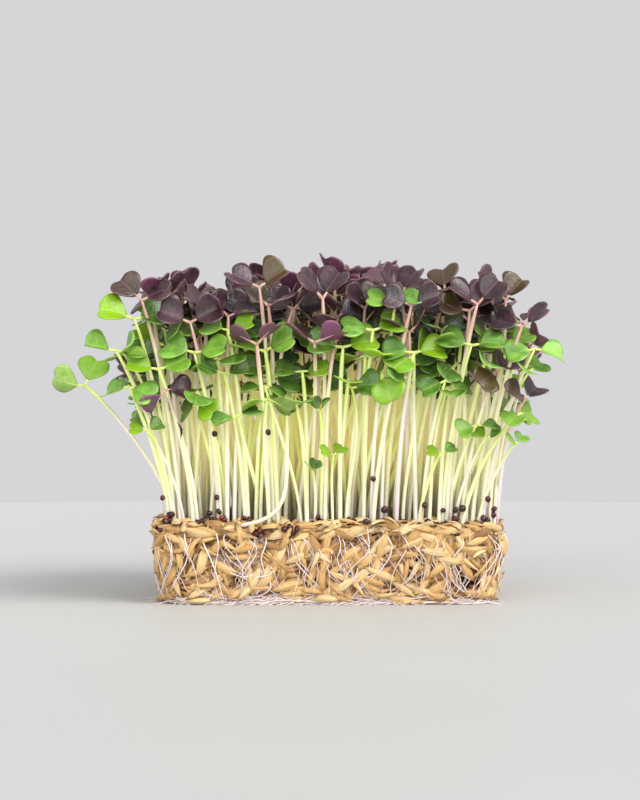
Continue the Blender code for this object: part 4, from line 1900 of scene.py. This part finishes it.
@dataclass
class HuskMat:
    """The mat: a dark bed inside, which paints the shade between the husks, and single husks and open hulls
    all round it.
    """

    mat: MatSize
    finishes: Finishes
    side_husks: int = 2600
    top_husks: int = 600
    rim_hulls: int = 56
    hull_share: float = 0.42
    bed_inset: float = 2.3 * MM
    bed_foot: float = 0.6 * MM
    bed_drop: float = 2.0 * MM
    highest: float = 22.6 * MM
    lowest: float = 0.08 * MM
    pieces: int = 8
    top_pieces: int = 3

    def __post_init__(self) -> None:
        """Make the stamps of the husks and hulls."""
        rng = Random(SEED + 5)
        self.husks = []
        self.hulls = []
        for number in range(8):
            husk = HuskShape(
                length=rng.uniform(8.4, 11.4) * MM,
                width=rng.uniform(1.6, 2.4) * MM,
                thickness=rng.uniform(0.9, 1.4) * MM,
                bend=rng.uniform(-0.2, 1.3) * MM,
                keel=rng.uniform(0.0, 0.45),
                sweep=rng.uniform(-0.9, 0.9) * MM,
            )
            self.husks.append(husk.stamp(f"husk_{number}"))
            hull = HullShape(
                length=rng.uniform(8.0, 11.4) * MM,
                width=rng.uniform(2.0, 3.3) * MM,
                depth=rng.uniform(0.8, 1.6) * MM,
                bend=rng.uniform(-0.2, 1.2) * MM,
                sweep=rng.uniform(-0.8, 0.8) * MM,
            )
            self.hulls.append(hull.stamp(f"hull_{number}"))

    def _put(self, bm: BMesh, rng: Random, place: Matrix, deep: float = 0.0) -> None:
        """Add a husk or a hull, browner with painted shade the deeper it lies."""
        stamps = self.hulls if rng.random() < self.hull_share else self.husks
        rng.choice(stamps).put(bm, rng.uniform(0.26, 1.0) * (1.0 - 0.95 * deep**0.75), matrix=place)

    def build_bed(self) -> None:
        """Build the bed: a dark block like the frame's, a little smaller, seen only between husks as painted
        shade.
        """
        bm = Stamp.begin()
        bmesh.ops.create_cube(bm, size=1.0)
        width = self.mat.width - 2 * self.bed_inset
        depth = self.mat.depth - 2 * self.bed_inset
        height = self.mat.height - self.bed_drop
        bmesh.ops.scale(bm, vec=(width, depth, height), verts=bm.verts)
        bmesh.ops.translate(bm, vec=(0.0, 0.0, height / 2 + self.bed_foot), verts=bm.verts)
        uprights = [edge for edge in bm.edges if abs(edge.verts[0].co.z - edge.verts[1].co.z) > height / 2]
        bmesh.ops.bevel(
            bm, geom=uprights, offset=self.mat.corner - self.bed_inset, segments=6, profile=0.5,
            affect="EDGES", material=-1,
        )
        low = [vert for vert in bm.verts if vert.co.z < height / 2]
        bmesh.ops.scale(bm, vec=(self.mat.taper, self.mat.taper, 1.0), verts=low)
        bmesh.ops.recalc_face_normals(bm, faces=bm.faces)
        piece = add_piece(bm, "husk_gap_shade", [self.finishes.bed])
        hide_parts("husk_mat")

    def side_place(self, rng: Random, share: float, deep: float) -> Matrix:
        """Draw where a husk of the sides lies.

        Args:
            rng: the seeded draw.
            share: how far round the block it lies.
            deep: how deep it lies, from 0 outside to 1 inside.

        Returns:
            Its place: x along the husk, z out of its rounded face.
        """
        height = rng.uniform(1.0, 21.0) * MM
        point, out = self.mat.outline(share, (2.7 * deep - 0.8) * MM, height)
        frame = Matrix((out.cross(UP), UP, -out)).transposed().to_4x4()
        room = min(height - 0.6 * MM, self.highest - height)
        steepest = math.asin(max(0.06, min(1.0, room / (4.8 * MM))))
        angle = rng.uniform(-1.0, 1.0) * steepest
        tilt = swing(rng, 0.36, "Y")
        flip = Matrix.Rotation(math.pi if rng.random() < 0.76 else 0.0, 4, "X")
        roll = swing(rng, 0.7, "X")
        end = Matrix.Rotation(math.pi if rng.random() < 0.5 else 0.0, 4, "Z")
        place = Matrix.Translation((point.x, point.y, height))
        return place @ frame @ Matrix.Rotation(angle, 4, "Z") @ tilt @ flip @ roll @ end

    def top_place(self, rng: Random) -> Matrix:
        """Draw where a husk on top of the mat lies.

        Args:
            rng: the seeded draw.

        Returns:
            Its place: x along the husk, z out of its rounded face.
        """
        if rng.random() < 0.5:
            point, _ = self.mat.outline(rng.random(), rng.uniform(0.4, 5.0) * MM, self.mat.height)
            lift = rng.uniform(-0.5, 1.5) * MM
        else:
            point = self.mat.draw_inside(rng, 0.45, 0.44)
            lift = rng.uniform(-1.0, 0.6) * MM
        turn = Matrix.Rotation(rng.uniform(0.0, 2 * math.pi), 4, "Z")
        tilt = swing(rng, 0.3, "Y")
        roll = swing(rng, 0.6, "X")
        return Matrix.Translation(point + UP * (self.mat.height + lift)) @ turn @ tilt @ roll

    def rim_place(self, rng: Random) -> Matrix:
        """Draw where a broad hull lies along the rim, its back up and out.

        Args:
            rng: the seeded draw.

        Returns:
            Its place: x along the hull, z out of its back.
        """
        point, out = self.mat.outline(rng.random(), rng.uniform(0.6, 2.2) * MM, self.mat.height)
        along = out.cross(UP)
        back = (out * rng.uniform(0.2, 1.4) + UP).normalized()
        frame = Matrix((along, back.cross(along), back)).transposed().to_4x4()
        place = Matrix.Translation(point + UP * (self.mat.height + rng.uniform(-1.2, -0.2) * MM))
        return place @ frame @ swing(rng, 0.5, "Z") @ Matrix.Scale(1.08, 4)

    def finish_husks(self, bm: BMesh, name: str) -> None:
        """Keep the husks above the floor and make them a piece.

        Args:
            bm: the husks' shape.
            name: the piece's name.
        """
        for vert in bm.verts:
            vert.co.z = max(vert.co.z, self.lowest)
        add_piece(bm, name, [self.finishes.husk])

    def build(self) -> None:
        """Build the bed and every husk."""
        self.build_bed()
        rng = Random(SEED + 6)
        for number in range(self.pieces):
            bm = Stamp.begin()
            for _ in range(self.side_husks // self.pieces):
                share = (number + rng.random()) / self.pieces
                deep = rng.random()
                self._put(bm, rng, self.side_place(rng, share, deep), deep)
            self.finish_husks(bm, f"side_husks_{number}")
        for number in range(self.top_pieces):
            bm = Stamp.begin()
            for _ in range(self.top_husks // self.top_pieces):
                self._put(bm, rng, self.top_place(rng))
            self.finish_husks(bm, f"top_husks_{number}")
        bm = Stamp.begin()
        for _ in range(self.rim_hulls):
            rng.choice(self.hulls).put(bm, rng.uniform(0.3, 1.0), matrix=self.rim_place(rng))
        self.finish_husks(bm, "rim_hulls")


@dataclass(frozen=True)
class ThreadKind:
    """One kind of root thread on the sides: how thick, slack and far it runs."""

    name: str
    count: int
    radius: tuple[float, float]
    top: tuple[float, float]
    foot: tuple[float, float]
    drift: float
    sway: float
    lift: float


@dataclass
class Roots:
    """The white roots: threads down the sides, felt under the foot, a web round it, and loose tips.

    Each draw method yields threads: a radius, the share of it that is left at the end, and the points.
    """

    mat: MatSize
    finishes: Finishes
    kinds: tuple[ThreadKind, ...] = (
        ThreadKind("main_roots", 92, (0.12, 0.23), (17.0, 21.6), (0.6, 3.5), 9.0, 2.6, 2.5),
        ThreadKind("side_roots", 170, (0.07, 0.14), (7.0, 21.0), (0.6, 4.0), 7.0, 2.2, 2.2),
    )
    fans: tuple[float, ...] = (37.8, -24.0, 4.0)
    more_fans: int = 7
    fan_threads: int = 7
    garlands: int = 230
    web: int = 460
    tips: int = 170
    fuzz_spots: int = 22
    fuzz_hairs: int = 42
    fuzz_radius: float = 0.045 * MM
    thread_steps: int = 14
    short_steps: int = 5
    lowest: float = 0.2 * MM

    @staticmethod
    def steps(count: int) -> list[float]:
        """Shares from 0 to 1 in a number of equal steps."""
        return [step / count for step in range(count + 1)]

    def thread_path(
        self, rng: Random, kind: ThreadKind, share: float, meet: tuple[float, float] | None = None
    ) -> list[Vector]:
        """Draw a slack thread that runs down a side of the block.

        Args:
            rng: the seeded draw.
            kind: how slack and long it is.
            share: where its top is, as a share of the outline.
            meet: the share and the height of the spot where a fan's threads meet, or None.

        Returns:
            Points from its top to its foot.
        """
        top = rng.uniform(*kind.top) * MM
        foot_share = share + rng.uniform(-kind.drift, kind.drift) * MM / self.mat.around
        foot = rng.uniform(*kind.foot) * MM
        if meet is not None:
            foot_share, foot = meet
        sway = rng.uniform(0.3, 1.0) * kind.sway * MM / self.mat.around
        turns = rng.uniform(1.0, 2.6) * math.pi
        phase = rng.uniform(0.0, 6.0)
        path = []
        for run in self.steps(self.thread_steps):
            height = top + (foot - top) * run
            slack = sway * (math.sin(turns * run + phase) - math.sin(phase)) * (1.0 - 0.6 * run)
            lift = min(1.0, 5.0 * run) * (kind.lift + 0.4 * math.sin(4.0 * run + phase) - 0.5 * run) * MM
            path.append(self.mat.at(share + (foot_share - share) * run**2 + slack, -lift, height))
        return path

    def garland_path(self, rng: Random) -> list[Vector]:
        """Draw a root that runs along the block's foot and sags between its ends.

        Args:
            rng: the seeded draw.

        Returns:
            Points from one end to the other.
        """
        share = rng.random()
        reach = rng.choice((-1.0, 1.0)) * rng.uniform(7.0, 20.0) * MM / self.mat.around
        ends = (rng.uniform(0.4, 3.4) * MM, rng.uniform(0.4, 3.4) * MM)
        sag = rng.uniform(0.2, 1.8) * MM
        lift = rng.uniform(0.4, 1.5) * MM
        path = []
        for run in self.steps(self.thread_steps):
            height = ends[0] + (ends[1] - ends[0]) * run - sag * 4.0 * run * (1.0 - run)
            height += 0.25 * MM * math.sin(9.0 * run + share * 400.0)
            point, _ = self.mat.outline(share + reach * run, -lift * min(1.0, 4.0 * run + 0.2), height)
            path.append(point + UP * max(0.22 * MM, height))
        return path

    def web_path(self, rng: Random) -> list[Vector]:
        """Draw a short root of the web along the block's foot.

        Args:
            rng: the seeded draw.

        Returns:
            Points from one end to the other.
        """
        share = rng.random()
        reach = rng.choice((-1.0, 1.0)) * rng.uniform(1.5, 6.0) * MM / self.mat.around
        low = rng.uniform(0.2, 1.3) ** 1.5 * MM
        rise = rng.uniform(-0.4, 2.8) * MM
        path = []
        for run in self.steps(self.short_steps):
            height = max(self.lowest, low + rise * run * run)
            path.append(self.mat.at(share + reach * run, -rng.uniform(0.2, 1.1) * MM, height))
        return path

    def tip_path(self, rng: Random, share: float) -> list[Vector]:
        """Draw a root tip that sticks out under the block and lies flat beside it.

        Args:
            rng: the seeded draw.
            share: where it comes out, as a share of the outline.

        Returns:
            Points from its start to its end.
        """
        point, out = self.mat.outline(share, 0.2 * MM, 0.0)
        aside = out.cross(UP) * rng.uniform(-1.3, 1.3)
        way = (out + aside).normalized() * rng.uniform(2.5, 7.0) * MM
        start = Vector((point.x, point.y, rng.uniform(0.5, 1.8) * MM))
        path = []
        for run in self.steps(self.short_steps):
            place = start + way * run
            place.z = start.z * (1.0 - run) ** 2 + self.lowest
            path.append(place)
        return path

    def fuzz_path(self, rng: Random, share: float, height: float) -> list[Vector]:
        """Draw one hair of a cottony spot on the sides.

        Args:
            rng: the seeded draw.
            share: where its middle is, as a share of the outline.
            height: the level of its middle.

        Returns:
            Points from one end to the other.
        """
        angle = rng.uniform(0.0, 2 * math.pi)
        reach = rng.uniform(0.8, 2.6) * MM
        path = []
        for step in range(self.short_steps + 1):
            run = 2.0 * step / self.short_steps - 1.0
            along = share + (run * math.cos(angle) * reach + rng.uniform(-0.3, 0.3) * MM) / self.mat.around
            level = height + run * math.sin(angle) * reach + rng.uniform(-0.3, 0.3) * MM
            point, _ = self.mat.outline(along, -rng.uniform(0.6, 1.3) * MM, level)
            path.append(point + UP * max(self.lowest, level))
        return path

    def draw_threads(self, rng: Random, kind: ThreadKind) -> Iterator[Thread]:
        """Draw the threads of one kind, spread evenly round the block.

        Args:
            rng: the seeded draw.
            kind: the kind.

        Returns:
            Each thread.
        """
        for number in range(kind.count):
            radius = rng.uniform(*kind.radius) * MM
            yield radius, 0.55, self.thread_path(rng, kind, (number + rng.random()) / kind.count)

    def draw_fans(self, rng: Random) -> Iterator[Thread]:
        """Draw the fans, whose threads come together at a spot of the side.

        Args:
            rng: the seeded draw.

        Returns:
            Each thread.
        """
        for fan in self.fans + tuple(rng.uniform(60.0, 300.0) for _ in range(self.more_fans)):
            meet_share = self.mat.front_share(fan * MM)
            meet = (meet_share, rng.uniform(2.0, 7.0) * MM)
            for _ in range(self.fan_threads):
                radius = rng.uniform(0.1, 0.2) * MM
                start = meet_share + rng.uniform(-8.0, 8.0) * MM / self.mat.around
                yield radius, 0.7, self.thread_path(rng, self.kinds[1], start, meet)

    def draw_garlands(self, rng: Random) -> Iterator[Thread]:
        """Draw the long roots along the block's foot."""
        for _ in range(self.garlands):
            yield rng.uniform(0.09, 0.2) * MM, 1.0, self.garland_path(rng)

    def draw_web(self, rng: Random) -> Iterator[Thread]:
        """Draw the short roots along the block's foot."""
        for _ in range(self.web):
            yield rng.uniform(0.07, 0.14) * MM, 1.0, self.web_path(rng)

    def draw_tips(self, rng: Random) -> Iterator[Thread]:
        """Draw the loose tips, a third of them at the front.

        Args:
            rng: the seeded draw.

        Returns:
            Each tip.
        """
        for number in range(self.tips):
            share = rng.uniform(-0.02, 0.2) if number % 3 == 0 else rng.random()
            yield rng.uniform(0.11, 0.19) * MM, 0.5, self.tip_path(rng, share)

    def draw_fuzz(self, rng: Random) -> Iterator[Thread]:
        """Draw the hairs of the cottony spots, the first spot at the front.

        Args:
            rng: the seeded draw.

        Returns:
            Each hair.
        """
        for number in range(self.fuzz_spots):
            share = self.mat.front_share(-20.0 * MM) if number == 0 else rng.random()
            height = rng.uniform(9.0, 18.5) * MM
            for _ in range(self.fuzz_hairs):
                spot = share + rng.gauss(0.0, 1.7) * MM / self.mat.around
                path = self.fuzz_path(rng, spot, height + rng.gauss(0.0, 1.2) * MM)
                yield self.fuzz_radius, 1.0, path

    def build_felt(self) -> None:
        """Build the felt of fine roots that covers the underside and turns up round its edge."""
        rng = Random(SEED + 9)
        bm = Stamp.begin()
        rim = bmesh.ops.create_circle(bm, cap_ends=True, segments=220, radius=1.0)["verts"]
        for number, vert in enumerate(rim):
            vert.co = self.mat.at(number / len(rim), -0.3 * MM, 0.0, 0.12 * MM)
        grown = bmesh.ops.extrude_face_region(bm, geom=bm.faces[:])["geom"]
        for item in grown:
            if isinstance(item, bmesh.types.BMVert):
                aside, back = rng.uniform(-0.4, 0.4), rng.uniform(-0.4, 0.4)
                item.co += Vector((aside, back, rng.uniform(0.8, 2.0))) * MM
        bmesh.ops.recalc_face_normals(bm, faces=bm.faces)
        add_piece(bm, "root_felt", [self.finishes.felt])

    def build(self) -> None:
        """Build the felt and each kind of root, as pieces of their own."""
        self.build_felt()
        rng = Random(SEED + 8)
        long_tube = StemStamp("root_tube", 4, self.thread_steps)
        short_tube = StemStamp("web_tube", 4, self.short_steps)
        white, felt = self.finishes.root, self.finishes.felt
        pieces = [(kind.name, long_tube, self.draw_threads(rng, kind), white) for kind in self.kinds]
        pieces += [
            ("root_fans", long_tube, self.draw_fans(rng), white),
            ("foot_garlands", long_tube, self.draw_garlands(rng), white),
            ("foot_web", short_tube, self.draw_web(rng), white),
            ("root_tips", short_tube, self.draw_tips(rng), white),
            ("root_fuzz", short_tube, self.draw_fuzz(rng), felt),
        ]
        for name, tube, threads, material in pieces:
            bm = Stamp.begin()
            for radius, end_share, path in threads:
                tube.bend(bm, path, (radius, radius * end_share), rng.random())
            add_piece(bm, name, [material])


@dataclass
class Studio:
    """The floor, lights and camera. The camera looks at the block's front, nearly level."""

    finishes: Finishes
    floor_radius: float = 0.55
    camera_distance: float = 0.560
    camera_height: float = 0.0554
    camera_side: float = -0.0022
    pixels_per_metre: float = 3700.0
    frame_width: int = 640
    sensor: float = 36.0

    def build_floor(self) -> None:
        """Build the round pale floor."""
        bm = Stamp.begin()
        bmesh.ops.create_circle(bm, cap_ends=True, segments=96, radius=self.floor_radius)
        add_mesh("floor", bm, [self.finishes.floor])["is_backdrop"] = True

    def add_sun(
        self, name: str, place: Vector, softness: float, strength: float, tint: tuple[float, float, float]
    ) -> None:
        """Add a soft even light that shines towards the block.

        Args:
            name: the light's name.
            place: where it shines from.
            softness: its angle as seen from the block, in radians.
            strength: its energy.
            tint: its colour.
        """
        lamp = bpy.data.lights.new(name, "SUN")
        lamp.angle = softness
        lamp.energy = strength
        lamp.color = tint
        light = add_object(name, lamp)
        light.location = place
        light.rotation_euler = (-place).to_track_quat("-Z", "Y").to_euler()

    def build_lights(self) -> None:
        """Light the block softly from the right and the front, in a bright even surround."""
        world = bpy.data.worlds.new("surround")
        world.use_nodes = True
        background = world.node_tree.nodes["Background"]
        background.inputs["Color"].default_value = linear(214, 214, 217)
        background.inputs["Strength"].default_value = 1.0
        bpy.context.scene.world = world
        self.add_sun("key", Vector((0.55, -0.4, 0.65)), 0.75, 3.0, (1.0, 0.99, 0.975))
        self.add_sun("front", Vector((-0.25, -0.9, 0.35)), 1.0, 1.6, (1.0, 1.0, 1.0))

    def build_camera(self) -> None:
        """Place the camera in front of the block's front face."""
        camera = bpy.data.cameras.new("camera")
        camera.sensor_fit = "HORIZONTAL"
        camera.sensor_width = self.sensor
        focal_pixels = self.pixels_per_metre * self.camera_distance
        camera.lens = self.sensor * focal_pixels / self.frame_width
        holder = add_object("camera", camera)
        front = -MatSize().depth / 2
        holder.location = (self.camera_side, front - self.camera_distance, self.camera_height)
        holder.rotation_euler = (math.pi / 2, 0.0, 0.0)
        bpy.context.scene.camera = holder

    def build(self) -> None:
        """Build the whole studio."""
        self.build_floor()
        self.build_lights()
        self.build_camera()
        bpy.context.scene.view_settings.view_transform = "Standard"


def main() -> None:
    """Build every piece in order, then the studio."""
    finishes = Finishes()
    layout = Layout()
    clumps = layout.clumps()
    fillers = layout.fillers(clumps)
    log.info("%d clumps, %d fillers", len(clumps), len(fillers))
    HuskMat(layout.mat, finishes).build()
    Roots(layout.mat, finishes).build()
    sprouts = [sprout for clump in clumps for sprout in clump.sprouts] + [sprout for sprout, _ in fillers]
    SeedCoats(layout.mat, finishes).build(sprouts)
    maker = SproutMaker(finishes)
    maker.build_clumps(clumps)
    maker.build_fillers(fillers)
    maker.build_bent(layout.mat)
    Studio(finishes).build()


if __name__ == "__main__":
    main()
    boxes = {"cad": CAD_BOUNDS, "visual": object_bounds()}
    sizes = {name: [list(corner) for corner in box] for name, box in boxes.items()}
